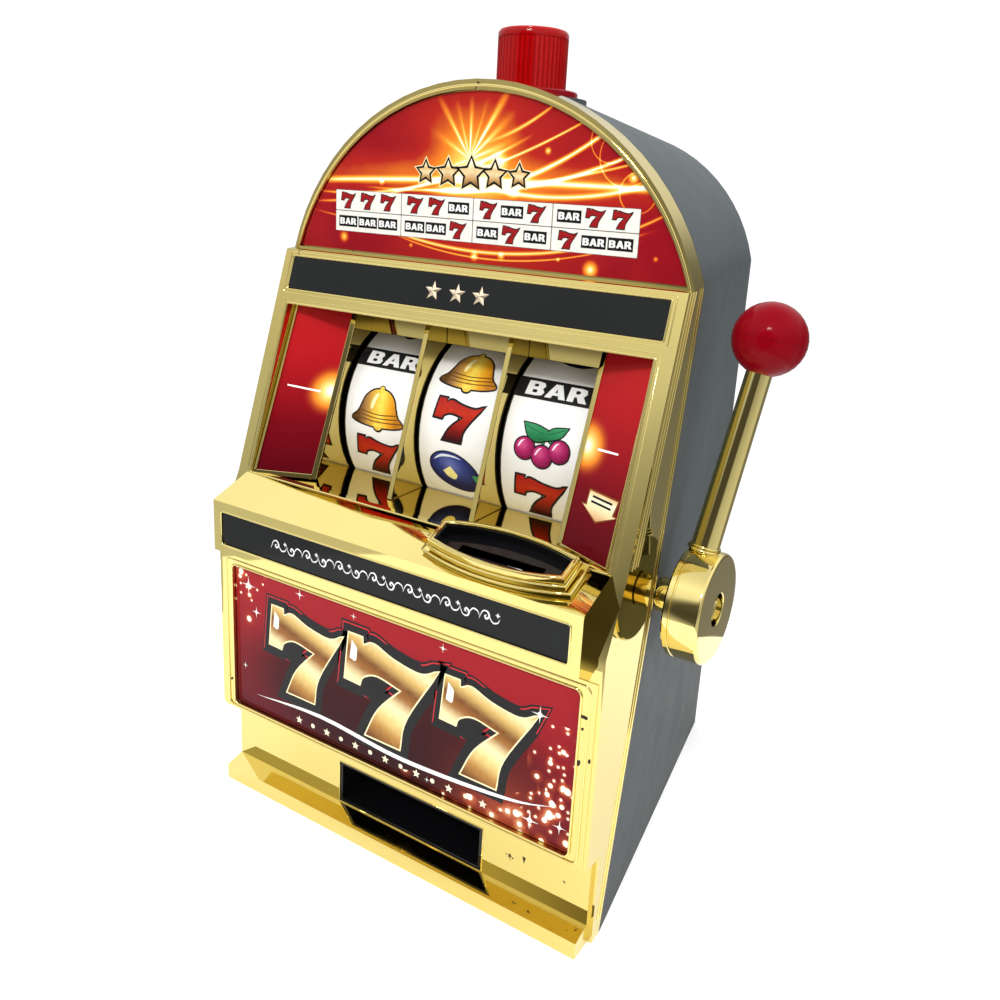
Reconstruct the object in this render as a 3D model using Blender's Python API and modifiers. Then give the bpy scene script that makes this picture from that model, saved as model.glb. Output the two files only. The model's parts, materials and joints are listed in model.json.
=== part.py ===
"""Toy slot machine bank: gold front shell, dark rear case, pull lever, three reels.

Lengths in this file are millimetres. Depths (y) are counted from the front lip and
moved by Y_ORIGIN, so that the frame origin lies under the middle of the base plate.
"""
import math

import bmesh
import bpy
from mathutils import Matrix, Vector

MM = 0.001
Y_ORIGIN = 100.0
GAP = 0.3
EDGE_ANGLE = 40.0
EDGE_CHAMFER = 0.5

# Overall shell
BAND_HALF = 106.0
BOX_HALF = 104.0
SHELF_HALF = 99.5
CAVITY_HALF = 101.6
SEAM_FOOT = 19.2
SEAM_SLOPE = 0.167
SEAM_TOP_Y = 65.5
SIDE_TOP_Z = 277.0
WALL = 2.4
BACK_Y = 207.0
BACK_HALF = 81.0
BACK_SIDE_TOP_Z = 280.3
BACK_ARCH_R = 83.5
BACK_ARCH_Z = 260.0
BACK_ROUND = 4.0

# Arched top
ARCH_R = 110.8
ARCH_Z = 244.7
ARCH_STEPS = 28
ARCH_FACE_Y = 54.0
GRAPHIC_R = 108.4
GRAPHIC_Z = 242.5
GRAPHIC_FOOT_Z = 277.7
GRAPHIC_Y = 55.5
GRAPHIC_T = 1.4

# Reel window
WINDOW_HALF = 97.5
WINDOW_FOOT_Z = 168.6
WINDOW_TOP_Z = 250.0
FRAME_SLOPE = 0.3204
FRAME_FOOT = (13.7, 168.0)
REVEAL_X = 69.2
REVEAL_T = 1.6
PANEL_SLOPE = 0.38
PARTITION_X = 23.1
PARTITION_T = 1.6
PARTITION_BAR = 2.7
RECESS_T = 1.5
RECESS_BEHIND = 4.5
RED_PANEL_FOOT = (97.2, 17.2, 169.2)
MASK_Y = 71.0
MASK_FOOT_Z = 236.5

# Reels
REEL_Y = 96.6
REEL_Z = 193.7
REEL_X = (-46.2, 0.0, 46.2)
REEL_HALF_WIDTH = 21.3
STRIP_R = 48.2
STRIP_T = 0.7
DRUM_STEPS = 48
AXLE_R = 3.0
AXLE_RUN = 0.06

# Lever
LEVER_Y = 52.0
LEVER_Z = 148.8
SHAFT_R = 5.0
HUB_R = 23.5
HUB_X = (115.4, 131.0)
ARM_ROOT = Vector((118.2, LEVER_Y, LEVER_Z))
BALL = Vector((132.6, 71.8, 258.9))
BALL_R = 15.0
ARM_R_FOOT = 6.0
ARM_R_TOP = 5.2
ARM_FOOT_AT = 14.4
LEVER_BUSH_R = 7.5

# Gear pair
MODULE = 1.5
SECTOR_TEETH = 56
PINION_TEETH = 28
GEAR_X = (80.0, 86.0)
CONTACT_ANGLE = math.atan2(REEL_Z - LEVER_Z, REEL_Y - LEVER_Y)

# Beacon
BEACON_Y = 99.3
BEACON_R = 16.0
BEACON_FOOT_Z = 355.3
BEACON_TOP_Z = 381.4
LENS_WALL = 1.6
BEACON_SEAT_Z = 351.6
BEACON_SEAT_R = 26.4
BEACON_FLANGE_R = 22.0

# Openings in the front
PAYOUT_X = (-34.5, 50.1)
PAYOUT_TOP_Z = 33.0
PAYOUT_FOOT_Z = 10.6
TRAY_CENTRE = (55.3, 5.5)
DECK_SLOPE = 0.41

# Back of the case
DOOR_HALF = 30.0
DOOR_Z = (30.0, 90.0)
HINGE_X = 31.5
HINGE_Y = 209.8
SWITCH_X = -55.0
SWITCH_Z = 60.0
SPEAKER_X = 56.0
SPEAKER_Z = 55.0

GOLD = (0.93, 0.68, 0.33)
DARK = (0.045, 0.045, 0.05)
BLACK = (0.012, 0.012, 0.014)
RED = (0.62, 0.02, 0.015)
STEEL = (0.55, 0.55, 0.57)
WHITE = (0.86, 0.86, 0.84)


def remove_everything():
    for found in list(bpy.data.objects):
        bpy.data.objects.remove(found, do_unlink=True)
    for found in list(bpy.data.collections):
        bpy.data.collections.remove(found)


def new_collection(name):
    made = bpy.data.collections.new(name)
    bpy.context.scene.collection.children.link(made)
    return made


def to_frame():
    """Matrix from millimetres counted from the lip to the frame in metres."""
    return Matrix.Scale(MM, 4) @ Matrix.Translation((0.0, -Y_ORIGIN, 0.0))


def link_mesh(name, mesh, origin=None):
    """Object for a mesh in millimetres; its origin is put at the point given."""
    made = bpy.data.objects.new(name, mesh)
    mesh.transform(to_frame())
    if origin is not None:
        place = to_frame() @ Vector(origin)
        mesh.transform(Matrix.Translation(-place))
        made.location = place
    bpy.context.scene.collection.objects.link(made)
    return made


def outline_mesh(name, loops, low, high, turn):
    """Closed plate from flat outlines; turn carries (u, v, w) to (x, y, z)."""
    data = bpy.data.curves.new(name, "CURVE")
    data.dimensions = "2D"
    data.fill_mode = "BOTH"
    data.extrude = (high - low) / 2.0
    for loop in loops:
        spline = data.splines.new("POLY")
        spline.points.add(len(loop) - 1)
        for point, (u, v) in zip(spline.points, loop):
            point.co = (u, v, 0.0, 1.0)
        spline.use_cyclic_u = True
    holder = bpy.data.objects.new(name, data)
    mesh = bpy.data.meshes.new_from_object(holder)
    bpy.data.objects.remove(holder)
    bpy.data.curves.remove(data)
    work = bmesh.new()
    work.from_mesh(mesh)
    bmesh.ops.remove_doubles(work, verts=work.verts, dist=0.001)
    work.to_mesh(mesh)
    work.free()
    mesh.name = name
    mesh.transform(turn @ Matrix.Translation((0.0, 0.0, (low + high) / 2.0)))
    return mesh


TURN_X = Matrix(((0, 0, 1, 0), (1, 0, 0, 0), (0, 1, 0, 0), (0, 0, 0, 1)))
TURN_Y = Matrix(((0, 1, 0, 0), (0, 0, 1, 0), (1, 0, 0, 0), (0, 0, 0, 1)))
TURN_Z = Matrix.Identity(4)


def prism(name, loops, axis, low, high, origin=None):
    """Plate of constant outline along an axis.

    Outlines hold (y, z) for axis X, (x, z) for axis Y and (x, y) for axis Z.
    """
    if axis == "X":
        mesh = outline_mesh(name, loops, low, high, TURN_X)
    elif axis == "Y":
        swapped = [[(z, x) for x, z in loop] for loop in loops]
        mesh = outline_mesh(name, swapped, low, high, TURN_Y)
    else:
        mesh = outline_mesh(name, loops, low, high, TURN_Z)
    return link_mesh(name, mesh, origin)


def plane_turn(start, u_dir, v_dir):
    """Matrix that lays an outline plane on start with the two directions given."""
    u_unit = Vector(u_dir).normalized()
    w_unit = u_unit.cross(Vector(v_dir)).normalized()
    v_unit = w_unit.cross(u_unit)
    turn = Matrix((u_unit, v_unit, w_unit)).transposed().to_4x4()
    return Matrix.Translation(start) @ turn


def laid_plate(name, loops, low, high, turn, origin=None):
    return link_mesh(name, outline_mesh(name, loops, low, high, turn), origin)


def box(name, x_span, y_span, z_span, origin=None):
    mesh = bpy.data.meshes.new(name)
    work = bmesh.new()
    bmesh.ops.create_cube(work, size=1.0)
    work.to_mesh(mesh)
    work.free()
    size = [span[1] - span[0] for span in (x_span, y_span, z_span)]
    middle = [(span[0] + span[1]) / 2.0 for span in (x_span, y_span, z_span)]
    mesh.transform(Matrix.Translation(middle) @ Matrix.Diagonal((*size, 1.0)))
    return link_mesh(name, mesh, origin)


def rod(name, start, end, start_r, end_r, steps=24, origin=None):
    """Cylinder or cone between two points."""
    mesh = bpy.data.meshes.new(name)
    work = bmesh.new()
    along = Vector(end) - Vector(start)
    bmesh.ops.create_cone(work, cap_ends=True, segments=steps, radius1=start_r, radius2=end_r,
                          depth=along.length)
    work.to_mesh(mesh)
    work.free()
    turn = along.to_track_quat("Z", "Y").to_matrix().to_4x4()
    mesh.transform(Matrix.Translation((Vector(start) + Vector(end)) / 2.0) @ turn)
    return link_mesh(name, mesh, origin)


def turned(name, profile, point, axis, steps, ring=False):
    """Turned piece: profile of (radius, height along the axis), outer side top to bottom."""
    mesh = bpy.data.meshes.new(name)
    verts = [(radius * MM, 0.0, height * MM) for radius, height in profile]
    edges = [(index, index + 1) for index in range(len(profile) - 1)]
    if ring:
        edges.append((len(profile) - 1, 0))
    mesh.from_pydata(verts, edges, [])
    made = bpy.data.objects.new(name, mesh)
    bpy.context.scene.collection.objects.link(made)
    turn = Vector(axis).to_track_quat("Z", "Y")
    made.rotation_euler = turn.to_euler()
    made.location = to_frame() @ Vector(point)
    screw = made.modifiers.new("Turn", "SCREW")
    screw.axis = "Z"
    screw.angle = math.tau
    screw.steps = steps
    screw.render_steps = steps
    screw.use_merge_vertices = True
    screw.merge_threshold = 0.00001
    return made


CUTTERS = []


def boolean(target, tool, operation):
    change = target.modifiers.new(tool.name, "BOOLEAN")
    change.operation = operation
    change.solver = "EXACT"
    change.object = tool
    tool.hide_render = True
    tool.display_type = "WIRE"
    CUTTERS.append(tool)


def cut(target, *tools):
    for tool in tools:
        boolean(target, tool, "DIFFERENCE")


def add(target, *tools):
    for tool in tools:
        boolean(target, tool, "UNION")


def soften(target, width):
    """Chamfer the sharp edges of a moulding by a width in millimetres."""
    bevel = target.modifiers.new("Edges", "BEVEL")
    bevel.width = width * MM
    bevel.segments = 1
    bevel.limit_method = "ANGLE"
    bevel.angle_limit = math.radians(EDGE_ANGLE)
    bevel.use_clamp_overlap = True


NODES = []


def node(target, colour, metal=0.0, rough=0.4, alpha=1.0):
    """Keep a piece as a node with its own material."""
    look = bpy.data.materials.new(target.name)
    look.use_nodes = True
    shader = look.node_tree.nodes["Principled BSDF"]
    shader.inputs["Base Color"].default_value = (*colour, 1.0)
    shader.inputs["Metallic"].default_value = metal
    shader.inputs["Roughness"].default_value = rough
    shader.inputs["Alpha"].default_value = alpha
    target.data.materials.clear()
    target.data.materials.append(look)
    NODES.append(target)
    return target


def seam_y(height):
    return SEAM_FOOT + SEAM_SLOPE * height


def arch_points(radius, centre_z, foot_z, steps):
    """Arc over the top from the right foot to the left foot, as (x, z)."""
    start = math.asin((foot_z - centre_z) / radius)
    points = []
    for index in range(steps + 1):
        angle = start + (math.pi - 2.0 * start) * index / steps
        points.append((radius * math.cos(angle), centre_z + radius * math.sin(angle)))
    return points


def rounded_rectangle(low_u, high_u, low_v, high_v, radius, steps=4):
    corners = ((high_u - radius, high_v - radius, 0.0), (low_u + radius, high_v - radius, 90.0),
               (low_u + radius, low_v + radius, 180.0), (high_u - radius, low_v + radius, 270.0))
    points = []
    for u, v, first in corners:
        for index in range(steps + 1):
            angle = math.radians(first + 90.0 * index / steps)
            points.append((u + radius * math.cos(angle), v + radius * math.sin(angle)))
    return points


# ---------------------------------------------------------------- front shell


def front_shell():
    band = [(SEAM_FOOT, 0.0), (12.0, 0.0), (12.0, 43.6), (0.5, 44.6), (0.5, 140.0), FRAME_FOOT,
            (48.3, 276.0), (ARCH_FACE_Y, 276.6), (ARCH_FACE_Y, SIDE_TOP_Z),
            (SEAM_TOP_Y, SIDE_TOP_Z)]
    shell = prism("front_shell", [band], "X", -BAND_HALF, BAND_HALF)
    box_part = [(0.0, 0.0), (0.0, 7.8), (9.7, 10.0), (9.7, 44.1), (0.3, 44.1), (0.0, 129.0),
                (6.0, 132.0), (18.0, 132.0), (18.0, 0.0)]
    shelf = [(0.6, 128.6), (0.0, 129.0), (-8.4, 134.3), (-8.4, 159.8), (12.9, 168.5), (22.0, 168.5),
             (22.0, 128.6)]
    arch = [(-BAND_HALF, SIDE_TOP_Z - 0.1), (BAND_HALF, SIDE_TOP_Z - 0.1)]
    arch += arch_points(ARCH_R, ARCH_Z, SIDE_TOP_Z, ARCH_STEPS)
    add(shell,
        prism("box_block", [box_part], "X", -BOX_HALF, BOX_HALF),
        prism("shelf_block", [shelf], "X", -SHELF_HALF, SHELF_HALF),
        prism("arch_block", [arch], "Y", ARCH_FACE_Y, SEAM_TOP_Y))
    hollow = [(2.4, -1.0), (2.4, 5.3), (12.1, 7.9), (12.1, 46.5), (4.9, 46.5), (4.9, 140.0),
              (17.2, 166.0), (51.3, 273.0), (59.4, 274.0), (59.4, 279.0), (95.0, 279.0),
              (95.0, -1.0)]
    shelf_hollow = [(20.0, 131.5), (3.0, 131.5), (-4.8, 136.4), (-4.8, 157.9), (16.8, 166.2),
                    (20.0, 160.0)]
    arch_hollow = [(-CAVITY_HALF, 262.0), (CAVITY_HALF, 262.0)]
    arch_hollow += arch_points(ARCH_R - WALL, ARCH_Z, 281.0, ARCH_STEPS)
    cut(shell,
        prism("hollow", [hollow], "X", -CAVITY_HALF, CAVITY_HALF),
        prism("shelf_hollow", [shelf_hollow], "X", -97.1, 97.1),
        prism("arch_hollow", [arch_hollow], "Y", 59.4, 80.0))
    belly = rounded_rectangle(-97.2, 97.2, 47.3, 124.4, 3.0)
    strip = rounded_rectangle(-94.4, 94.4, 138.4, 154.9, 1.2)
    graphic = arch_points(GRAPHIC_R + GAP, GRAPHIC_Z, GRAPHIC_FOOT_Z - GAP, ARCH_STEPS)
    slope = plane_turn((0.0, *FRAME_FOOT), (1.0, 0.0, 0.0), (0.0, FRAME_SLOPE, 1.0))
    star = [(-99.8, 93.4), (99.8, 93.4), (99.8, 110.2), (-99.8, 110.2)]
    cut(shell,
        prism("belly_recess", [belly], "Y", -4.0, 3.5),
        prism("strip_recess", [strip], "Y", -12.0, -6.9),
        prism("graphic_recess", [graphic], "Y", 50.0, 57.2),
        laid_plate("star_recess", [star], -1.3, 4.0, slope),
        box("window_cut", (-WINDOW_HALF, WINDOW_HALF), (-5.0, 62.0), (WINDOW_FOOT_Z, WINDOW_TOP_Z)),
        box("payout_cut", PAYOUT_X, (7.0, 14.0), (PAYOUT_FOOT_Z, PAYOUT_TOP_Z)),
        box("bill_cut", (33.0, 78.0), (1.0, 10.0), (150.0, 175.0)))
    wall = []
    for height in (167.0, 251.0):
        wall.append((FRAME_FOOT[0] + FRAME_SLOPE * (height - FRAME_FOOT[1]) + 1.0, height))
    for height in (251.0, 167.0):
        behind = RED_PANEL_FOOT[1] + PANEL_SLOPE * (height - RED_PANEL_FOOT[2])
        wall.append((behind + RECESS_BEHIND, height))
    for low, label in ((-WINDOW_HALF - RECESS_T, "left"), (WINDOW_HALF, "right")):
        add(shell, prism("recess_wall_" + label, [wall], "X", low, low + RECESS_T))
    for side in (-1.0, 1.0):
        boss_x = side * 97.3
        label = "right" if side > 0 else "left"
        add(shell, rod("front_boss_" + label, (boss_x, 15.8, 2.7), (boss_x, 15.8, 22.0), 5.0, 5.0, 16))
        cut(shell, rod("front_boss_hole_" + label, (boss_x, 15.8, 1.0), (boss_x, 15.8, 16.0),
                       1.7, 1.7, 12))
    soften(shell, EDGE_CHAMFER)
    node(shell, GOLD, 1.0, 0.08)


# ------------------------------------------------------------------ rear case


def case_ring(back_share, drop):
    """One ring of the case: 0 at the seam and 1 at the back, pulled inward by drop."""
    front = [(BAND_HALF, SEAM_FOOT + GAP, 0.0), (BAND_HALF, seam_y(140.0) + GAP, 140.0),
             (BAND_HALF, SEAM_TOP_Y + GAP, SIDE_TOP_Z)]
    rear = [(BACK_HALF, BACK_Y, 0.0), (BACK_HALF, BACK_Y, 140.0), (BACK_HALF, BACK_Y, BACK_SIDE_TOP_Z)]
    front_arch = arch_points(ARCH_R, ARCH_Z, SIDE_TOP_Z, ARCH_STEPS)
    rear_arch = arch_points(BACK_ARCH_R, BACK_ARCH_Z, BACK_SIDE_TOP_Z, ARCH_STEPS)
    front += [(x, SEAM_TOP_Y + GAP, z) for x, z in front_arch[1:-1]]
    rear += [(x, BACK_Y, z) for x, z in rear_arch[1:-1]]
    for source in (front, rear):
        source += [(-x, y, z) for x, y, z in reversed(source[:3])]
    ring = []
    for near, far in zip(front, rear):
        spot = Vector(near).lerp(Vector(far), back_share)
        middle = Vector((0.0, spot.y, min(spot.z, BACK_ARCH_Z)))
        away = spot - middle
        if away.length > drop:
            spot = spot - away.normalized() * drop
        if near[2] == 0.0:
            spot.z = 0.0
        ring.append(spot)
    return ring


def rear_case():
    rings = [case_ring(0.0, 0.0), case_ring(0.5, 0.0), case_ring(0.975, 0.0)]
    for degrees in (30.0, 60.0, 90.0):
        angle = math.radians(degrees)
        ring = case_ring(1.0, BACK_ROUND * (1.0 - math.cos(angle)))
        back = BACK_Y - BACK_ROUND * (1.0 - math.sin(angle))
        rings.append([Vector((spot.x, back, spot.z)) for spot in ring])
    mesh = bpy.data.meshes.new("rear_case")
    work = bmesh.new()
    rows = [[work.verts.new(spot) for spot in ring] for ring in rings]
    for low, high in zip(rows[:-1], rows[1:]):
        for index in range(len(low) - 1):
            work.faces.new((low[index], low[index + 1], high[index + 1], high[index]))
    work.faces.new(rows[-1])
    bmesh.ops.recalc_face_normals(work, faces=work.faces)
    work.to_mesh(mesh)
    work.free()
    case = link_mesh("rear_case", mesh)
    shell = case.modifiers.new("Wall", "SOLIDIFY")
    shell.thickness = WALL * MM
    shell.offset = -1.0
    shell.use_even_offset = True
    front_room = [(-20.0, -6.0), (seam_y(-6.0) + GAP + 0.1, -6.0),
                  (SEAM_TOP_Y + GAP + 0.1, SIDE_TOP_Z), (SEAM_TOP_Y + GAP + 0.1, 370.0),
                  (-20.0, 370.0)]
    cut(case, prism("front_room", [front_room], "X", -120.0, 120.0))
    add(case, rod("seat", (0, BEACON_Y, 345.0), (0, BEACON_Y, BEACON_SEAT_Z), BEACON_SEAT_R,
                  BEACON_SEAT_R, 48))
    cut(case,
        rod("seat_flat", (0, BEACON_Y, BEACON_SEAT_Z), (0, BEACON_Y, 362.0), BEACON_SEAT_R + 0.2,
            BEACON_SEAT_R + 0.2, 48),
        rod("beacon_wire_hole", (0, BEACON_Y, 340.0), (0, BEACON_Y, 360.0), 5.0, 5.0, 16),
        rod("lever_hole", (90.0, LEVER_Y, LEVER_Z), (112.0, LEVER_Y, LEVER_Z), 6.6, 6.6, 24))
    knuckle = [(HINGE_X, BACK_Y - 1.0), (HINGE_X + 5.0, BACK_Y - 1.0), (HINGE_X + 5.0, BACK_Y + 1.5),
               (HINGE_X + 2.0, HINGE_Y + 1.0), (HINGE_X, HINGE_Y + 1.0)]
    for label, span in (("low", (41.0, 49.7)), ("high", (70.3, 79.0))):
        add(case,
            prism("knuckle_foot_" + label, [knuckle], "Z", *span),
            rod("knuckle_" + label, (HINGE_X, HINGE_Y, span[0]), (HINGE_X, HINGE_Y, span[1]),
                2.4, 2.4, 16))
    cut(case,
        rod("pin_hole", (HINGE_X, HINGE_Y, 36.0), (HINGE_X, HINGE_Y, 84.0), 1.26, 1.26, 16),
        box("door_cut", (-DOOR_HALF, DOOR_HALF), (198.0, BACK_Y + 0.15), DOOR_Z),
        box("switch_cut", (SWITCH_X - 8.0, SWITCH_X + 8.0), (198.0, 212.0),
            (SWITCH_Z - 4.0, SWITCH_Z + 4.0)))
    for index in range(5):
        height = SPEAKER_Z + 5.0 * (index - 2)
        cut(case, box("grille_" + str(index), (SPEAKER_X - 11.0, SPEAKER_X + 11.0), (198.0, 212.0),
                      (height - 0.9, height + 0.9)))
    for side in (-1.0, 1.0):
        label = "right" if side > 0 else "left"
        boss_x = side * 75.5
        add(case, rod("rear_boss_" + label, (boss_x, 197.5, 2.7), (boss_x, 197.5, 22.0), 5.0, 5.0, 16),
            box("rear_boss_web_" + label, sorted((boss_x, side * 80.2)), (196.3, 198.7), (2.7, 22.0)))
        cut(case, rod("rear_boss_hole_" + label, (boss_x, 197.5, 1.0), (boss_x, 197.5, 16.0),
                      1.7, 1.7, 12))
    node(case, DARK, 0.0, 0.45)


def base_plate():
    edge = [(-101.0, 12.7), (101.0, 12.7), (101.0, 23.0), (77.2, 203.5), (-77.2, 203.5),
            (-101.0, 23.0)]
    cover = rounded_rectangle(-74.0, -26.0, 125.0, 191.0, 2.0)
    plate = prism("base_plate", [edge, cover], "Z", 0.0, WALL)
    spots = ((-97.3, 15.8), (97.3, 15.8), (-75.5, 197.5), (75.5, 197.5))
    for index, (x, y) in enumerate(spots):
        label = str(index + 1)
        cut(plate,
            rod("base_hole_" + label, (x, y, -2.0), (x, y, 5.0), 1.8, 1.8, 12),
            rod("base_pocket_" + label, (x, y, -2.0), (x, y, 1.4), 3.3, 3.3, 16))
        screw = turned("base_screw_" + label,
                       [(0.0, 12.0), (1.5, 12.0), (1.5, 1.2), (3.0, 1.2), (3.0, 0.2), (0.0, 0.2)],
                       (x, y, 0.0), (0, 0, 1), 16)
        node(screw, STEEL, 1.0, 0.3)
    cut(plate, box("payout_clear", (PAYOUT_X[0] - 3.0, PAYOUT_X[1] + 3.0), (10.0, 13.2), (-2.0, 5.0)))
    node(plate, DARK, 0.0, 0.5)


# ------------------------------------------------------------- printed panels


def panels():
    graphic = arch_points(GRAPHIC_R, GRAPHIC_Z, GRAPHIC_FOOT_Z, ARCH_STEPS)
    node(prism("top_graphic_panel", [graphic], "Y", GRAPHIC_Y, GRAPHIC_Y + GRAPHIC_T), RED, 0, 0.12)
    slope = plane_turn((0.0, *FRAME_FOOT), (1.0, 0.0, 0.0), (0.0, FRAME_SLOPE, 1.0))
    star = [(-99.5, 93.7), (99.5, 93.7), (99.5, 109.9), (-99.5, 109.9)]
    node(laid_plate("star_band_panel", [star], -1.0, -0.1, slope), BLACK, 0.0, 0.1)
    strip = rounded_rectangle(-94.1, 94.1, 138.7, 154.6, 1.0)
    node(prism("shelf_strip", [strip], "Y", -7.9, -7.2), BLACK, 0.0, 0.12)
    belly = rounded_rectangle(-96.9, 96.9, 47.6, 124.1, 2.7)
    node(prism("belly_panel", [belly], "Y", 1.9, 3.2), RED, 0.0, 0.1)
    for side, label in ((-1.0, "left"), (1.0, "right")):
        start = Vector((side * RED_PANEL_FOOT[0], *RED_PANEL_FOOT[1:]))
        across = Vector((-side * 26.6, 11.6, 0.0))
        up = Vector((0.0, PANEL_SLOPE, 1.0))
        turn = plane_turn(start, across, up)
        inverse = turn.inverted()
        rise = 249.6 - RED_PANEL_FOOT[2]
        spots = (start, start + across, start + across + up * rise, start + up * rise)
        loop = [tuple((inverse @ spot)[:2]) for spot in spots]
        depth = (-1.4, 0.0) if side > 0 else (0.0, 1.4)
        node(laid_plate(label + "_reel_panel", [loop], *depth, turn), RED, 0.0, 0.15)


# ----------------------------------------------------------------- reel window


def reel_window():
    floor = [(-96.9, 17.9), (96.9, 17.9), (96.9, 18.6), (70.8, 30.0), (70.8, 55.8), (-70.8, 55.8),
             (-70.8, 30.0), (-96.9, 18.6)]
    bezel = prism("reel_bezel", [floor], "Z", 165.4, 167.0)
    for side, label in ((-1.0, "left"), (1.0, "right")):
        if side < 0:
            span = (-REVEAL_X - REVEAL_T, -REVEAL_X)
        else:
            span = (REVEAL_X, REVEAL_X + REVEAL_T)
        side_wall = [(30.4, 165.6), (61.9, 251.4), (75.0, 251.4), (75.0, 165.6)]
        add(bezel, prism("reveal_" + label, [side_wall], "X", *span))
    add(bezel,
        box("ceiling", (-70.8, 70.8), (61.6, 75.0), (249.9, 251.4)),
        box("mask", (-70.0, 70.0), (MASK_Y, MASK_Y + 1.0), (MASK_FOOT_Z, 250.8)))
    node(bezel, GOLD, 1.0, 0.1)
    for side, label in ((-1.0, "left"), (1.0, "right")):
        foot_y = 30.0 + 0.336 * 0.3
        top_y = 30.0 + 0.336 * 82.6
        wall = [(foot_y, 167.3), (top_y, 249.6), (70.7, 249.6), (70.7, 167.3)]
        centre = side * PARTITION_X
        part = prism("partition_" + label, [wall], "X", centre - PARTITION_T / 2,
                     centre + PARTITION_T / 2)
        bar = [(foot_y - 0.6, 167.3), (top_y - 0.6, 249.6), (top_y + 1.6, 249.6),
               (foot_y + 1.6, 167.3)]
        add(part, prism("bar_" + label, [bar], "X", centre - PARTITION_BAR / 2,
                        centre + PARTITION_BAR / 2))
        node(part, GOLD, 1.0, 0.08)


# ----------------------------------------------------------------------- reels


def reels():
    for index, x in enumerate(REEL_X):
        label = str(index + 1)
        rim = STRIP_R - STRIP_T - GAP
        half = REEL_HALF_WIDTH
        drum = [(rim, half), (rim, -half), (rim - 2, -half), (rim - 2, -0.8), (7, -0.8), (7, -10),
                (AXLE_R + AXLE_RUN, -10), (AXLE_R + AXLE_RUN, 10), (7, 10), (7, 0.8),
                (rim - 2, 0.8), (rim - 2, half)]
        node(turned("reel_drum_" + label, drum, (x, REEL_Y, REEL_Z), (1, 0, 0), DRUM_STEPS, True),
             BLACK, 0.0, 0.3)
        strip = [(STRIP_R, half), (STRIP_R, -half), (STRIP_R - STRIP_T, -half),
                 (STRIP_R - STRIP_T, half)]
        node(turned("reel_strip_" + label, strip, (x, REEL_Y, REEL_Z), (1, 0, 0), DRUM_STEPS, True),
             WHITE, 0.0, 0.5)
    node(turned("reel_axle", [(0, 94), (2.4, 94), (AXLE_R, 93.4), (AXLE_R, -80.4), (2.4, -81), (0, -81)],
                (0, REEL_Y, REEL_Z), (1, 0, 0), 24), STEEL, 1.0, 0.25)
    clear = AXLE_R + AXLE_RUN
    for index, x in enumerate((-23.1, 23.1)):
        tube = [(5.0, 12.7), (5.0, -12.7), (clear, -12.7), (clear, 12.7)]
        node(turned("reel_spacer_" + str(index + 1), tube, (x, REEL_Y, REEL_Z), (1, 0, 0), 24, True),
             STEEL, 0.0, 0.5)
    for label, x in (("left", -77.5), ("right", 90.5)):
        tube = [(6.0, 0.6), (6.0, -0.6), (clear, -0.6), (clear, 0.6)]
        node(turned("axle_clip_" + label, tube, (x, REEL_Y, REEL_Z), (1, 0, 0), 24, True),
             STEEL, 1.0, 0.3)


def tooth_row(centre, radius_root, radius_tip, teeth, first_angle, count):
    """Trapezoid teeth as (y, z); angles from +Y towards +Z, first tooth at first_angle."""
    pitch = math.tau / teeth
    root_half = 0.30 * pitch
    tip_half = 0.11 * pitch
    points = []
    for index in range(count):
        middle = first_angle + index * pitch
        for offset, radius in ((-root_half, radius_root), (-tip_half, radius_tip),
                               (tip_half, radius_tip), (root_half, radius_root)):
            angle = middle + offset
            points.append((centre[0] + radius * math.cos(angle), centre[1] + radius * math.sin(angle)))
    return points


def circle_points(centre, radius, steps, first=0.0, last=360.0):
    closed = last - first >= 360.0
    count = steps if closed else steps + 1
    points = []
    for index in range(count):
        angle = math.radians(first + (last - first) * index / steps)
        points.append((centre[0] + radius * math.cos(angle), centre[1] + radius * math.sin(angle)))
    return points


def gear_pair():
    shaft = (LEVER_Y, LEVER_Z)
    axle = (REEL_Y, REEL_Z)
    sector_pitch_r = MODULE * SECTOR_TEETH / 2.0
    pinion_pitch_r = MODULE * PINION_TEETH / 2.0
    pitch = math.tau / SECTOR_TEETH
    before, after = 10, 2
    teeth = tooth_row(shaft, sector_pitch_r - 1.9, sector_pitch_r + 1.4, SECTOR_TEETH,
                      CONTACT_ANGLE - before * pitch, before + after + 1)
    first = math.degrees(CONTACT_ANGLE - before * pitch)
    last = math.degrees(CONTACT_ANGLE + after * pitch)
    hub = circle_points(shaft, 9.5, 14, last + 35.0, first - 35.0 + 360.0)
    bore = circle_points(shaft, SHAFT_R + 0.05, 24)
    node(prism("sector_gear", [teeth + hub, bore], "X", *GEAR_X, origin=(83.0, *shaft)),
         WHITE, 0.0, 0.5)
    ring = tooth_row(axle, pinion_pitch_r - 1.9, pinion_pitch_r + 1.4, PINION_TEETH,
                     CONTACT_ANGLE + math.pi + math.pi / PINION_TEETH, PINION_TEETH)
    bore = circle_points(axle, AXLE_R + 0.05, 24)
    node(prism("pinion", [ring, bore], "X", *GEAR_X, origin=(83.0, *axle)), WHITE, 0.0, 0.5)


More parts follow.
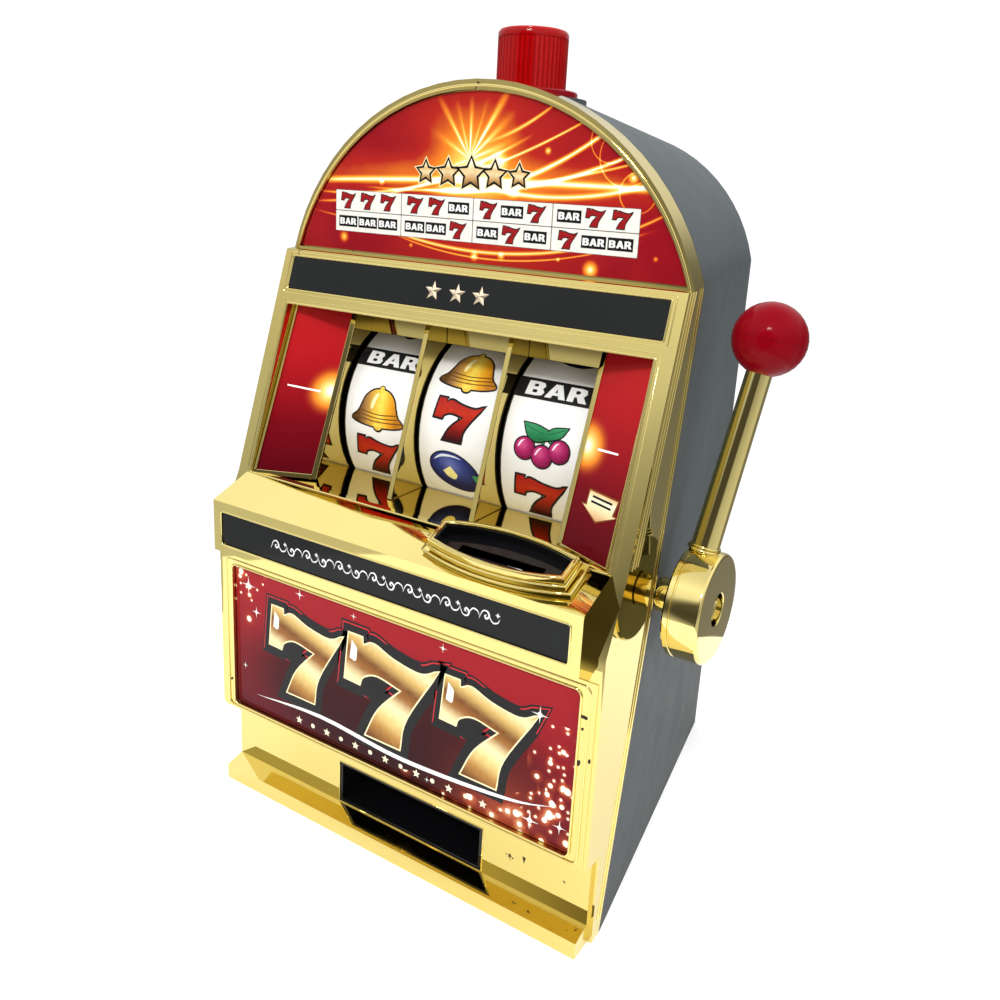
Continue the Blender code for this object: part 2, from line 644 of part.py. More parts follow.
def side_frames():
    axle_hole = circle_points((REEL_Y, REEL_Z), AXLE_R + AXLE_RUN, 24)
    shaft_hole = circle_points((LEVER_Y, LEVER_Z), SHAFT_R + 0.08, 24)
    tie_hole = circle_points((118.0, 120.0), 2.1, 16)
    left = [(80.0, 2.7), (80.0, 204.0), (88.0, 210.0), (106.0, 210.0), (124.0, 190.0), (124.0, 2.7)]
    right = [(80.0, 2.7), (80.0, 128.0), (46.0, 136.0), (41.0, 146.0), (43.0, 160.0), (80.0, 204.0),
             (88.0, 210.0), (106.0, 210.0), (124.0, 190.0), (124.0, 2.7)]
    for label, loop, holes, span, foot in (
            ("left", left, [axle_hole, tie_hole], (-75.0, -73.0), (-74.0, -60.0)),
            ("right", right, [axle_hole, shaft_hole, tie_hole], (73.0, 75.0), (60.0, 74.0))):
        frame = prism("reel_frame_" + label, [loop] + holes, "X", *span)
        add(frame, box("frame_foot_" + label, foot, (80.0, 116.0), (2.7, 4.7)))
        node(frame, STEEL, 0.6, 0.4)
    node(rod("frame_tie_bar", (-78.0, 118.0, 120.0), (78.0, 118.0, 120.0), 2.0, 2.0, 16),
         STEEL, 1.0, 0.3)


# ----------------------------------------------------------------------- lever


def lever():
    axis_point = (0.0, LEVER_Y, LEVER_Z)
    shaft = [(0, 112.0), (2.05, 112.0), (2.05, 124.0), (SHAFT_R - 0.4, 124.0), (SHAFT_R, 123.6),
             (SHAFT_R, 58.4), (SHAFT_R - 0.4, 58.0), (0, 58.0)]
    node(turned("lever_shaft", shaft, axis_point, (1, 0, 0), 24), STEEL, 1.0, 0.25)
    inner = SHAFT_R + 0.05
    hub = [(7.4, 131.0), (HUB_R - 1.6, 131.0), (HUB_R - 0.6, 130.5), (HUB_R, 129.4), (HUB_R, 119.2),
           (HUB_R - 0.5, 118.9), (HUB_R - 0.5, 118.4), (HUB_R - 0.1, 118.1), (HUB_R - 0.1, 116.2),
           (HUB_R - 0.9, 115.4), (inner, 115.4), (inner, 124.4), (7.0, 124.4), (7.0, 130.6)]
    hub_piece = turned("lever_hub", hub, axis_point, (1, 0, 0), 64, True)
    along = (BALL - ARM_ROOT).normalized()
    length = (BALL - ARM_ROOT).length
    cut(hub_piece, rod("arm_socket", ARM_ROOT + along * (ARM_FOOT_AT - 0.3), ARM_ROOT + along * 40.0,
                       ARM_R_FOOT + 0.25, ARM_R_FOOT + 0.25, 24))
    node(hub_piece, GOLD, 1.0, 0.08)
    node(rod("lever_arm", ARM_ROOT + along * ARM_FOOT_AT, ARM_ROOT + along * (length - 4.0),
             ARM_R_FOOT, ARM_R_TOP, 32, origin=axis_point_at(118.2)), GOLD, 1.0, 0.08)
    mesh = bpy.data.meshes.new("ball_knob")
    work = bmesh.new()
    bmesh.ops.create_uvsphere(work, u_segments=32, v_segments=16, radius=BALL_R)
    work.to_mesh(mesh)
    work.free()
    turn = along.to_track_quat("Z", "Y").to_matrix().to_4x4()
    mesh.transform(Matrix.Translation(BALL) @ turn)
    ball = link_mesh("ball_knob", mesh, axis_point_at(132.6))
    cut(ball, rod("ball_socket", BALL - along * 30.0, BALL - along * 3.7, ARM_R_TOP + 0.35,
                  ARM_R_TOP + 0.35, 32))
    node(ball, RED, 0.0, 0.12)
    screw = [(0, 127.4), (4.6, 127.4), (5.4, 126.6), (5.4, 124.7), (2.0, 124.7), (2.0, 113.0),
             (0, 113.0)]
    node(turned("hub_screw", screw, axis_point, (1, 0, 0), 24), STEEL, 1.0, 0.3)
    bush = [(LEVER_BUSH_R, 114.9), (LEVER_BUSH_R, 106.2), (6.2, 106.2), (6.2, 99.8),
            (SHAFT_R + 0.08, 99.8), (SHAFT_R + 0.08, 114.9)]
    node(turned("lever_bush", bush, axis_point, (1, 0, 0), 32, True), GOLD, 1.0, 0.1)
    stop_y, stop_z = 77.2, 132.5
    node(rod("lever_stop", (75.3, stop_y, stop_z), (89.0, stop_y, stop_z), 4.0, 4.0, 24),
         BLACK, 0.0, 0.8)
    return_spring()


def axis_point_at(x):
    return (x, LEVER_Y, LEVER_Z)


def return_spring():
    """Torsion spring round the lever shaft."""
    wire = 0.6
    coil_r = 6.9
    turns = 5
    steps = 12
    points = [(60.4, LEVER_Y + 13.0, LEVER_Z + coil_r)]
    for index in range(turns * steps + 1):
        angle = math.pi / 2.0 + math.tau * index / steps
        points.append((60.4 + 1.9 * index / steps, LEVER_Y + coil_r * math.cos(angle),
                       LEVER_Z + coil_r * math.sin(angle)))
    points.append((70.6, LEVER_Y - 14.0, LEVER_Z + coil_r))
    data = bpy.data.curves.new("return_spring", "CURVE")
    data.dimensions = "3D"
    data.bevel_depth = wire
    data.bevel_resolution = 2
    data.use_fill_caps = True
    spline = data.splines.new("POLY")
    spline.points.add(len(points) - 1)
    for point, spot in zip(spline.points, points):
        point.co = (*spot, 1.0)
    holder = bpy.data.objects.new("return_spring", data)
    mesh = bpy.data.meshes.new_from_object(holder)
    bpy.data.objects.remove(holder)
    bpy.data.curves.remove(data)
    work = bmesh.new()
    work.from_mesh(mesh)
    bmesh.ops.remove_doubles(work, verts=work.verts, dist=0.001)
    work.to_mesh(mesh)
    work.free()
    mesh.name = "return_spring"
    node(link_mesh("return_spring", mesh), STEEL, 1.0, 0.3)


# ---------------------------------------------------------- trays and openings


def payout_tray():
    foot = PAYOUT_FOOT_Z + GAP
    top = PAYOUT_TOP_Z - GAP
    outer = [(9.8, foot), (9.8, top), (46.0, top), (46.0, foot)]
    inner = [(-4.0, foot + 1.2), (-4.0, top - 1.4), (44.4, top - 1.4), (44.4, foot + 10.0),
             (26.0, foot + 1.2)]
    tray = prism("payout_tray", [outer], "X", PAYOUT_X[0] + GAP, PAYOUT_X[1] - GAP)
    cut(tray, prism("payout_inner", [inner], "X", PAYOUT_X[0] + GAP + 1.6, PAYOUT_X[1] - GAP - 1.6))
    node(tray, BLACK, 0.0, 0.12)


def bowed_outline(half_u, half_v, bow, steps=8):
    """Rectangle whose long sides are bowed outward."""
    points = []
    for index in range(steps + 1):
        share = 1.0 - 2.0 * index / steps
        points.append((half_u * share, half_v + bow * (1.0 - share * share)))
    for index in range(steps + 1):
        share = -1.0 + 2.0 * index / steps
        points.append((half_u * share, -half_v - bow * (1.0 - share * share)))
    return points


def bill_tray():
    deck_z = 159.8 + DECK_SLOPE * (TRAY_CENTRE[1] + 8.4)
    turn = plane_turn((TRAY_CENTRE[0], TRAY_CENTRE[1], deck_z), (1.0, 0.0, 0.0),
                      (0.0, 1.0, DECK_SLOPE))
    tray = laid_plate("bill_tray", [bowed_outline(35.0, 8.0, 5.2)], GAP, 1.8, turn)
    add(tray, laid_plate("tray_wall", [bowed_outline(32.2, 6.6, 4.6)], 1.0, 7.0, turn))
    cut(tray,
        laid_plate("tray_hollow", [bowed_outline(30.2, 4.9, 4.4)], 1.6, 9.0, turn),
        laid_plate("tray_slot", [[(-20.0, -3.6), (20.0, -3.6), (20.0, 0.6), (-20.0, 0.6)]],
                   -2.0, 4.0, turn))
    node(tray, GOLD, 1.0, 0.1)
    outer = [(34.0, 5.6), (77.0, 5.6), (77.0, 14.0), (34.0, 14.0)]
    inner = [(35.2, 6.8), (75.8, 6.8), (75.8, 12.8), (35.2, 12.8)]
    node(prism("bill_chute", [outer, inner], "Z", 96.0, 158.0), BLACK, 0.0, 0.4)


def beacon():
    centre = (0.0, BEACON_Y, 0.0)
    flange = [(BEACON_FLANGE_R - 0.6, 355.0), (BEACON_FLANGE_R, 354.4), (BEACON_FLANGE_R, 351.9),
              (6.0, 351.9), (6.0, 353.4), (15.0, 353.4), (15.0, 355.0)]
    node(turned("beacon_base", flange, centre, (0, 0, 1), 48, True), RED, 0.0, 0.2)
    bore = BEACON_R - LENS_WALL
    lens = [(0, BEACON_TOP_Z), (BEACON_R - 2.2, BEACON_TOP_Z), (BEACON_R - 0.6, BEACON_TOP_Z - 0.5),
            (BEACON_R, BEACON_TOP_Z - 1.6), (BEACON_R, BEACON_FOOT_Z), (bore, BEACON_FOOT_Z),
            (bore, BEACON_TOP_Z - LENS_WALL - 0.8), (0, BEACON_TOP_Z - LENS_WALL - 0.8)]
    node(turned("beacon_lens", lens, centre, (0, 0, 1), 48), (0.55, 0.01, 0.01), 0.0, 0.1, 0.6)
    led = [(0, 369.0), (1.6, 368.6), (2.5, 367.0), (2.5, 360.0), (4.6, 360.0), (4.6, 353.7),
           (0, 353.7)]
    node(turned("beacon_led", led, centre, (0, 0, 1), 24), RED, 0.0, 0.2)


# ---------------------------------------------------------- back and inside


def back_fittings():
    door = prism("coin_door", [rounded_rectangle(-DOOR_HALF + 0.4, DOOR_HALF - 0.4, DOOR_Z[0] + 0.4,
                                                 DOOR_Z[1] - 0.4, 1.0, 2)], "Y",
                 BACK_Y - 2.2, BACK_Y, origin=(HINGE_X, HINGE_Y, 60.0))
    add(door,
        box("strap", (20.0, 29.2), (BACK_Y - 1.0, BACK_Y + 1.6), (50.2, 69.8)),
        box("strap_end", (28.0, HINGE_X), (BACK_Y + 0.5, BACK_Y + 1.6), (50.2, 69.8)),
        rod("door_knuckle", (HINGE_X, HINGE_Y, 50.0), (HINGE_X, HINGE_Y, 70.0), 2.4, 2.4, 16),
        box("finger_tab", (-27.0, -23.5), (BACK_Y - 1.0, BACK_Y + 4.0), (54.0, 66.0)))
    cut(door, rod("door_pin_hole", (HINGE_X, HINGE_Y, 46.0), (HINGE_X, HINGE_Y, 74.0), 1.26, 1.26, 16))
    node(door, DARK, 0.0, 0.45)
    pin = [(0, 81.0), (1.9, 81.0), (1.9, 79.6), (1.2, 79.6), (1.2, 40.4), (0, 40.4)]
    node(turned("door_hinge_pin", pin, (HINGE_X, HINGE_Y, 0.0), (0, 0, 1), 16), STEEL, 1.0, 0.3)
    plate = rounded_rectangle(SWITCH_X - 13.0, SWITCH_X + 13.0, SWITCH_Z - 7.0, SWITCH_Z + 7.0, 1.5, 3)
    hole = rounded_rectangle(SWITCH_X - 6.0, SWITCH_X + 6.0, SWITCH_Z - 2.6, SWITCH_Z + 2.6, 0.4, 2)
    bezel = prism("switch_bezel", [plate, hole], "Y", BACK_Y + 0.3, BACK_Y + 1.5)
    node(bezel, BLACK, 0.0, 0.3)
    slider = box("switch_slider", (SWITCH_X - 5.6, SWITCH_X - 0.6), (204.0, BACK_Y + 3.4),
                 (SWITCH_Z - 2.2, SWITCH_Z + 2.2), origin=(SWITCH_X - 3.1, 206.0, SWITCH_Z))
    node(slider, STEEL, 0.0, 0.5)
    body = [(-7.6, 195.0), (7.6, 195.0), (7.6, 203.6), (-7.6, 203.6)]
    loop = [(SWITCH_X + x, y) for x, y in body]
    node(prism("switch_body", [loop], "Z", SWITCH_Z - 3.6, SWITCH_Z + 3.6), BLACK, 0.0, 0.5)
    speaker = [(0, 16.0), (9.0, 16.0), (9.0, 9.0), (11.0, 9.0), (20.0, 2.0), (20.0, 0.0),
               (18.0, 0.0), (9.0, 6.0), (0, 6.0)]
    node(turned("speaker", speaker, (SPEAKER_X, 204.2, SPEAKER_Z), (0, -1, 0), 32), BLACK, 0.0, 0.6)
    board = box("circuit_board", (-48.0, 48.0), (164.0, 165.6), (112.0, 172.0))
    add(board,
        box("chip_large", (-14.0, 6.0), (165.0, 168.4), (132.0, 150.0)),
        box("chip_small", (18.0, 30.0), (165.0, 167.6), (140.0, 148.0)),
        rod("capacitor", (-32.0, 165.0, 150.0), (-32.0, 176.0, 150.0), 4.0, 4.0, 16))
    node(board, (0.02, 0.2, 0.06), 0.0, 0.4)
    box_edge = [(-73.0, 126.0), (-27.0, 126.0), (-27.0, 190.0), (-73.0, 190.0)]
    box_inner = [(-71.6, 127.4), (-28.4, 127.4), (-28.4, 188.6), (-71.6, 188.6)]
    holder = prism("battery_box", [box_edge], "Z", 2.3, 21.0)
    cut(holder, prism("battery_inner", [box_inner], "Z", 0.0, 19.6))
    node(holder, BLACK, 0.0, 0.5)
    for index, x in enumerate((-61.0, -39.0)):
        cell = [(0, 28.6), (2.6, 28.6), (2.6, 27.0), (6.8, 27.0), (7.1, 26.6), (7.1, -26.6),
                (6.8, -27.0), (0, -27.0)]
        node(turned("battery_" + str(index + 1), cell, (x, 157.5, 11.0), (0, 1, 0), 24),
             (0.1, 0.1, 0.12), 0.4, 0.3)
    cover_edge = rounded_rectangle(-73.7, -26.3, 125.3, 190.7, 1.7)
    cover = prism("battery_cover", [cover_edge], "Z", 0.0, 2.0)
    cut(cover, rod("cover_hole", (-50.0, 128.8, -2.0), (-50.0, 128.8, 5.0), 1.8, 1.8, 12))
    node(cover, DARK, 0.0, 0.5)


def sort_into_collections():
    kept = new_collection("slot_machine")
    tools = new_collection("cutters")
    for target in list(bpy.context.scene.collection.objects):
        bpy.context.scene.collection.objects.unlink(target)
        if target in NODES:
            kept.objects.link(target)
        else:
            tools.objects.link(target)


def main():
    remove_everything()
    front_shell()
    rear_case()
    base_plate()
    panels()
    reel_window()
    reels()
    gear_pair()
    side_frames()
    lever()
    payout_tray()
    bill_tray()
    beacon()
    back_fittings()
    sort_into_collections()


main()
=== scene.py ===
"""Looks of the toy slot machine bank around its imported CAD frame.

Sizes are in millimetres unless a name says otherwise. Depths (y) are counted from the front
lip, as in the part's own source; the frame origin lies Y_ORIGIN behind it.
"""
import functools
import json
import math

import bmesh
import bpy
from mathutils import Matrix, Vector


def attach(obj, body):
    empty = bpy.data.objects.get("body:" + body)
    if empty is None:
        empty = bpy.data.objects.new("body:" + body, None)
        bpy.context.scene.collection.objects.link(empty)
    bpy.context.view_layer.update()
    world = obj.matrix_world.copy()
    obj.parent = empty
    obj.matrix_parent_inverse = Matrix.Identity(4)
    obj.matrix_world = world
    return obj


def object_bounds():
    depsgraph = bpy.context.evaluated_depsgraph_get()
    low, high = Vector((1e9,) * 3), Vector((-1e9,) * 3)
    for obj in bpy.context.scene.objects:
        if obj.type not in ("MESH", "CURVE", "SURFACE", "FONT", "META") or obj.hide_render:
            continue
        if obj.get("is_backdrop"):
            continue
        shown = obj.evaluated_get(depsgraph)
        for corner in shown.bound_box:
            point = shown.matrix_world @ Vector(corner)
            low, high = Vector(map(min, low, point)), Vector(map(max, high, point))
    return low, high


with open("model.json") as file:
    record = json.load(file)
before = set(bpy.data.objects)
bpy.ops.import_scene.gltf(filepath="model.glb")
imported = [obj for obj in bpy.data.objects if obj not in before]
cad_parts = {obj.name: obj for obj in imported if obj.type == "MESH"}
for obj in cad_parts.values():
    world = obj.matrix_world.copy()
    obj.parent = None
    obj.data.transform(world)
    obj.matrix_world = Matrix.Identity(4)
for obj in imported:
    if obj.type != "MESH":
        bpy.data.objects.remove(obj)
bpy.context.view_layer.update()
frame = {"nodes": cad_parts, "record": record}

MM = 0.001
Y_ORIGIN = 100.0
SHELL = "gold_metallised_shell"

REEL_Y = 96.6
REEL_Z = 193.7
REEL_X = (-46.2, 0.0, 46.2)
STRIP_R = 48.2
STRIP_HALF = 21.3
SYMBOLS_PER_REEL = 12
FRAME_SLOPE = 0.3204
FRAME_FOOT = (0.0, 13.7, 168.0)
SIDES = ((-1.0, "left"), (1.0, "right"))
SIDE_X = 106.0
ARCH_R = 109.3
ARCH_Z = 243.6
STARS_Z = 316.2
DECK_SLOPE = 0.41
BURST = (-3.0, 322.5)

CAMERA_PLACE = (231.47, -292.13, 313.56)
CAMERA_RIGHT = (0.8457, 0.5311, 0.0519)
CAMERA_AHEAD = (-0.5023, 0.8251, -0.2585)
CAMERA_LENS = 33.1
CAMERA_SHIFT_Y = -0.0718
CAMERA_SENSOR = 36.0
# Studio brightness against height, from straight down (0) to straight up (1).
SKY = ((0.0, 0.55), (0.30, 0.55), (0.40, 0.46), (0.50, 0.30), (0.56, 0.36), (0.65, 0.52),
       (0.76, 0.80), (0.88, 0.98), (1.0, 0.62))
SKY_STRENGTH = 1.45
# Darker parts of the room: direction, the cosines where each begins and is full, and its share.
DARK_ROOM = (((0.09, -0.99, 0.08), 0.84, 0.93, 0.88), ((0.52, 0.84, -0.16), 0.80, 0.94, 0.72))
DARK_TONE = (0.02, 0.015, 0.01)
# Lamps: name, place, aim (metres), size, power, and whether it shows in reflections.
LAMPS = (("key", (-0.9, -1.3, 1.5), (0.0, 0.0, 0.18), (1.2, 1.0), 5.0, False),
         ("fill", (1.5, -1.1, 0.7), (0.0, 0.0, 0.15), (0.9, 1.2), 6.0, False),
         ("top", (0.1, 0.1, 1.9), (0.0, 0.0, 0.2), (1.4, 1.4), 8.0, False),
         ("back", (0.8, 1.6, 1.1), (0.0, 0.0, 0.2), (1.2, 1.0), 7.0, False),
         ("glint", (0.35, -1.5, 1.5), (0.0, 0.0, 0.25), (0.42, 0.20), 16.0, True))
FLOOR_REACH = 0.38
FLOOR_Y = -0.10
FLOOR_SIDES = 64
FLOOR_GAP = 0.0002


# ------------------------------------------------------------------- node trees


class Nodes:
    """Short calls for building a node tree."""

    def __init__(self, tree):
        self.tree = tree

    def add(self, kind, inputs=None, **settings):
        """Make a node, feed its inputs from {socket: value} and give its outputs."""
        made = self.tree.nodes.new(kind)
        for key, value in settings.items():
            setattr(made, key, value)
        for key, value in (inputs or {}).items():
            self.feed(made.inputs[key], value)
        return made.outputs

    def feed(self, socket, value):
        if isinstance(value, bpy.types.NodeSocket):
            self.tree.links.new(value, socket)
        elif socket.type == "RGBA" and len(value) == 3:
            socket.default_value = (*value, 1.0)
        else:
            socket.default_value = value

    def math(self, operation, *values):
        return self.add("ShaderNodeMath", dict(enumerate(values)), operation=operation)[0]

    def minus(self, first, second):
        return self.math("SUBTRACT", first, second)

    def plus(self, *values):
        return functools.reduce(lambda a, b: self.math("ADD", a, b), values)

    def times(self, *values):
        return functools.reduce(lambda a, b: self.math("MULTIPLY", a, b), values)

    def mix(self, share, first, second, blend="MIX"):
        return self.add("ShaderNodeMix", {0: share, 6: first, 7: second}, data_type="RGBA",
                        blend_type=blend, clamp_factor=True)[2]

    def ramp(self, value, stops, mode="LINEAR"):
        out = self.add("ShaderNodeValToRGB", {0: value})[0]
        band = out.node.color_ramp
        band.interpolation = mode
        while len(band.elements) < len(stops):
            band.elements.new(0.5)
        for element, (place, colour) in zip(band.elements, stops):
            element.position = place
            element.color = (*colour, 1.0)
        return out

    def span(self, value, low, high, out_low=0.0, out_high=1.0, smooth=False):
        """The value's place between low and high, as a number between out_low and out_high."""
        return self.add("ShaderNodeMapRange", dict(enumerate((value, low, high, out_low, out_high))),
                        clamp=True, interpolation_type="SMOOTHSTEP" if smooth else "LINEAR")[0]


class Shader(Nodes):
    """One material. Its object coordinates are metres, because objects sit at the frame origin."""

    def __init__(self, name):
        self.material = bpy.data.materials.new(name)
        self.material.use_nodes = True
        super().__init__(self.material.node_tree)
        self.point = self.add("ShaderNodeTexCoord")["Object"]

    def split(self):
        return self.add("ShaderNodeSeparateXYZ", {0: self.point})

    def noise(self, scale, detail=2.0, rough=0.5, stretch=None):
        source = self.point
        if stretch:
            source = self.add("ShaderNodeMapping", {"Vector": source, "Scale": stretch})[0]
        return self.add("ShaderNodeTexNoise", {"Vector": source, "Scale": scale, "Detail": detail,
                                               "Roughness": rough})[0]

    def grain(self, scale, low, high, detail=2.0):
        """Fine noise as a number between low and high."""
        return self.span(self.noise(scale, detail), 0.3, 0.7, low, high)

    def bump(self, height, strength, distance):
        inputs = {"Height": height, "Strength": strength, "Distance": distance}
        self.done(Normal=self.add("ShaderNodeBump", inputs)[0])

    def done(self, **values):
        """Feed the surface's inputs and give the material."""
        for key, value in values.items():
            self.feed(self.tree.nodes["Principled BSDF"].inputs[key.replace("_", " ")], value)
        return self.material


def scaled(colour, *factors):
    """The colour times one factor, or times one factor for each channel."""
    return tuple(value * factor for value, factor in zip(colour, factors * (3 // len(factors))))


def gold_material(name, tint=(0.74, 0.62, 0.23), chips=False, painted_shade_above=None):
    """Vacuum-metallised plastic: a mirror with faint waviness, dust and optional worn chips.

    Above the given height (metres) the colour is mixed towards dark brown: painted shade, as inside a deep
    recess.
    """
    s = Shader(name)
    rough = s.plus(s.span(s.noise(35.0, 4.0, 0.6), 0.35, 0.75, 0.02, 0.06),
                   s.span(s.noise(9.0, 3.0, 0.55), 0.52, 0.72, 0.0, 0.06, True))
    colour = s.mix(s.span(s.noise(6.0), 0.4, 0.7), tint, scaled(tint, 0.97, 0.93, 0.82))
    if painted_shade_above:
        # painted shade: above the height the gold is mixed towards dark brown, as if in shade
        shade = s.span(s.split()[2], painted_shade_above, painted_shade_above + 6 * MM, 0.0, 0.72, True)
        colour = s.mix(shade, colour, (0.10, 0.065, 0.02))
    if chips:
        spots = s.span(s.noise(160.0, 3.0, 0.6), 0.715, 0.73)
        worn = s.times(spots, s.span(s.noise(14.0, 1.0), 0.56, 0.62))
        colour = s.mix(worn, colour, (0.05, 0.035, 0.02))
        rough = s.plus(rough, s.times(worn, 0.5))
    s.bump(s.noise(22.0, 1.0), 0.06, 2 * MM)
    return s.done(Base_Color=colour, Metallic=1.0, Roughness=rough)


def satin_material(name, colour, rough, grain=1400.0, scratch=True, foot=1.0):
    """Moulded satin plastic with fine grain, faint scuffs and scratches; painted shade darkens it towards
    its foot.
    """
    s = Shader(name)
    lift = tuple(value * 1.07 + 0.001 for value in colour)
    tone = s.mix(s.grain(14.0, 0.0, 1.0, 4.0), scaled(colour, 0.93), lift)
    if scratch:
        lines = s.span(s.noise(900.0, 2.0, 0.5, (0.02, 1.0, 0.6)), 0.72, 0.76)
        patch = s.span(s.noise(7.0), 0.52, 0.62)
        tone = s.mix(s.times(lines, patch, 0.12), tone, (0.4, 0.42, 0.44))
    # painted shade: below 220 mm the colour darkens towards the floor, down to the share given for the foot
    if foot < 1.0:
        tone = s.mix(1.0, tone, s.span(s.split()[2], 0.0, 0.22, foot, 1.0, True), "MULTIPLY")
    s.bump(s.noise(grain), 0.10, 0.4 * MM)
    return s.done(Base_Color=tone, Specular_IOR_Level=0.16,
                  Roughness=s.grain(60.0, rough - 0.02, rough + 0.04, 3.0))


def gloss_material(name, colour, rough=0.12, coat=0.0, scratch=0.15, shine=0.3):
    """Glossy plastic with faint dust and hair scratches."""
    s = Shader(name)
    tone = s.mix(s.span(s.noise(30.0, 3.0), 0.35, 0.7), scaled(colour, 0.88), colour)
    hair = s.span(s.noise(700.0, 1.0, 0.5, (1.0, 0.03, 0.05)), 0.71, 0.75)
    dust = s.span(s.noise(40.0, 3.0), 0.3, 0.8, rough * 0.8, rough * 1.3)
    return s.done(Base_Color=tone, Roughness=s.plus(dust, s.times(hair, scratch)),
                  Coat_Weight=coat, Coat_Roughness=0.04, Specular_IOR_Level=shine)


def metal_material(name, colour, rough, stretch):
    """Plated or brushed steel."""
    s = Shader(name)
    lines = s.noise(500.0, 3.0, 0.6, stretch)
    s.bump(lines, 0.05, 0.3 * MM)
    return s.done(Base_Color=s.mix(s.span(lines, 0.3, 0.7), scaled(colour, 0.85), colour),
                  Metallic=1.0, Roughness=s.span(lines, 0.3, 0.7, rough * 0.8, rough * 1.3))


# --------------------------------------------------------------- printed panels


def away(s, x, z, place):
    """Distance from a place (millimetres) on a front panel."""
    dx = s.minus(x, place[0] * MM)
    dz = s.minus(z, place[1] * MM)
    return s.math("SQRT", s.plus(s.times(dx, dx), s.times(dz, dz)))


def glow_spot(s, x, z, place, reach, power, gain=1.0):
    """Full at a place on a front panel, falling to 0 at its reach (millimetres)."""
    fall = s.span(away(s, x, z, place), 0.0, reach * MM, 1.0, 0.0)
    return s.times(s.math("POWER", fall, power), gain)


def streak(s, x, z, first, middle, last, width, gain):
    """A light streak along the parabola through three points (x, z) of a front panel."""
    x0, z0 = first
    x1, z1 = middle
    x2, z2 = last
    bottom = (x0 - x1) * (x0 - x2) * (x1 - x2)
    a = (x2 * (z1 - z0) + x1 * (z0 - z2) + x0 * (z2 - z1)) / bottom
    b = (x2 * x2 * (z0 - z1) + x1 * x1 * (z2 - z0) + x0 * x0 * (z1 - z2)) / bottom
    c = z0 - a * x0 * x0 - b * x0
    line = s.plus(s.times(x, x, a / MM), s.times(x, b), c * MM)
    gap = s.math("ABSOLUTE", s.minus(z, line))
    core = s.math("POWER", s.span(gap, 0.0, width * MM, 1.0, 0.0), 2.0)
    begin = s.span(x, (x0 - 6) * MM, (x0 + 22) * MM, 0.0, 1.0, True)
    end = s.span(x, (x2 - 18) * MM, (x2 + 8) * MM, 1.0, 0.0, True)
    return s.times(core, begin, end, gain)


FIRE = ((0.0, (0.27, 0.005, 0.012)), (0.18, (0.42, 0.018, 0.012)), (0.42, (0.90, 0.24, 0.02)),
        (0.68, (1.0, 0.62, 0.10)), (0.86, (1.0, 0.86, 0.42)), (1.0, (1.0, 0.98, 0.85)))
# Rays of the burst: angle in degrees, sharpness, reach, gain.
RAYS = ((90, 900, 30, 0.75), (57, 700, 46, 0.8), (124, 800, 40, 0.6), (108, 1200, 30, 0.4),
        (42, 500, 34, 0.5), (72, 1500, 30, 0.35), (20, 300, 30, 0.4), (150, 300, 26, 0.35),
        (200, 260, 22, 0.3), (340, 260, 22, 0.3))
# Streaks: three points, width, gain.
STREAKS = (((-96, 310), (-20, 313), (96, 313.5), 2.6, 0.85), ((-96, 300), (-30, 310), (24, 331), 1.5, 0.7),
           ((-94, 305), (-40, 308), (60, 343), 1.2, 0.75), ((-30, 309), (40, 322), (84, 352), 2.2, 0.95),
           ((-20, 310), (44, 316), (97, 338), 1.8, 0.9), ((-60, 308), (10, 311), (100, 330), 1.1, 0.6),
           ((0, 312), (50, 309), (100, 321), 2.0, 0.8), ((-70, 296), (10, 283), (84, 297), 1.5, 0.75),
           ((-50, 289), (20, 280.5), (80, 293), 0.8, 0.5), ((20, 290), (70, 295), (100, 310), 1.6, 0.6),
           ((6, 330), (26, 338), (44, 350), 1.6, 0.7), ((-98, 297), (-80, 294), (-40, 299), 1.0, 0.5))
# Glowing dots: place, reach, power, gain.
DOTS = (((59.5, 280.2), 5.2, 1.5, 1.0), ((1.5, 281.0), 2.8, 1.5, 0.8), ((15.6, 282.2), 2.4, 1.5, 0.7),
        ((76.0, 293.0), 3.4, 1.5, 0.9), ((-74.8, 284.0), 4.2, 1.5, 0.8), ((75.6, 317.8), 3.0, 1.5, 0.9),
        ((20.0, 310.5), 4.6, 1.5, 0.8), ((-52.0, 311.0), 2.2, 1.5, 0.8), ((36.0, 327.0), 2.0, 1.5, 0.8),
        ((-34.0, 283.0), 1.5, 1.5, 0.6), ((44.0, 283.0), 1.4, 1.5, 0.6), ((88.0, 287.0), 1.8, 1.5, 0.6),
        ((12.0, 322.0), 6.0, 1.5, 0.7), ((-62.0, 303.0), 1.4, 1.5, 0.6),
        (BURST, 32.0, 1.8, 0.50), ((6.0, 312.0), 84.0, 1.7, 0.34))
RINGS = (((64.6, 332.0), 9.0), ((72.0, 326.0), 12.0), ((78.0, 312.0), 8.0))


def printed(s, colour):
    """Ink under a clear cover."""
    return s.done(Base_Color=colour, Specular_IOR_Level=0.11,
                  Roughness=s.span(s.noise(50.0, 3.0), 0.3, 0.8, 0.10, 0.17))


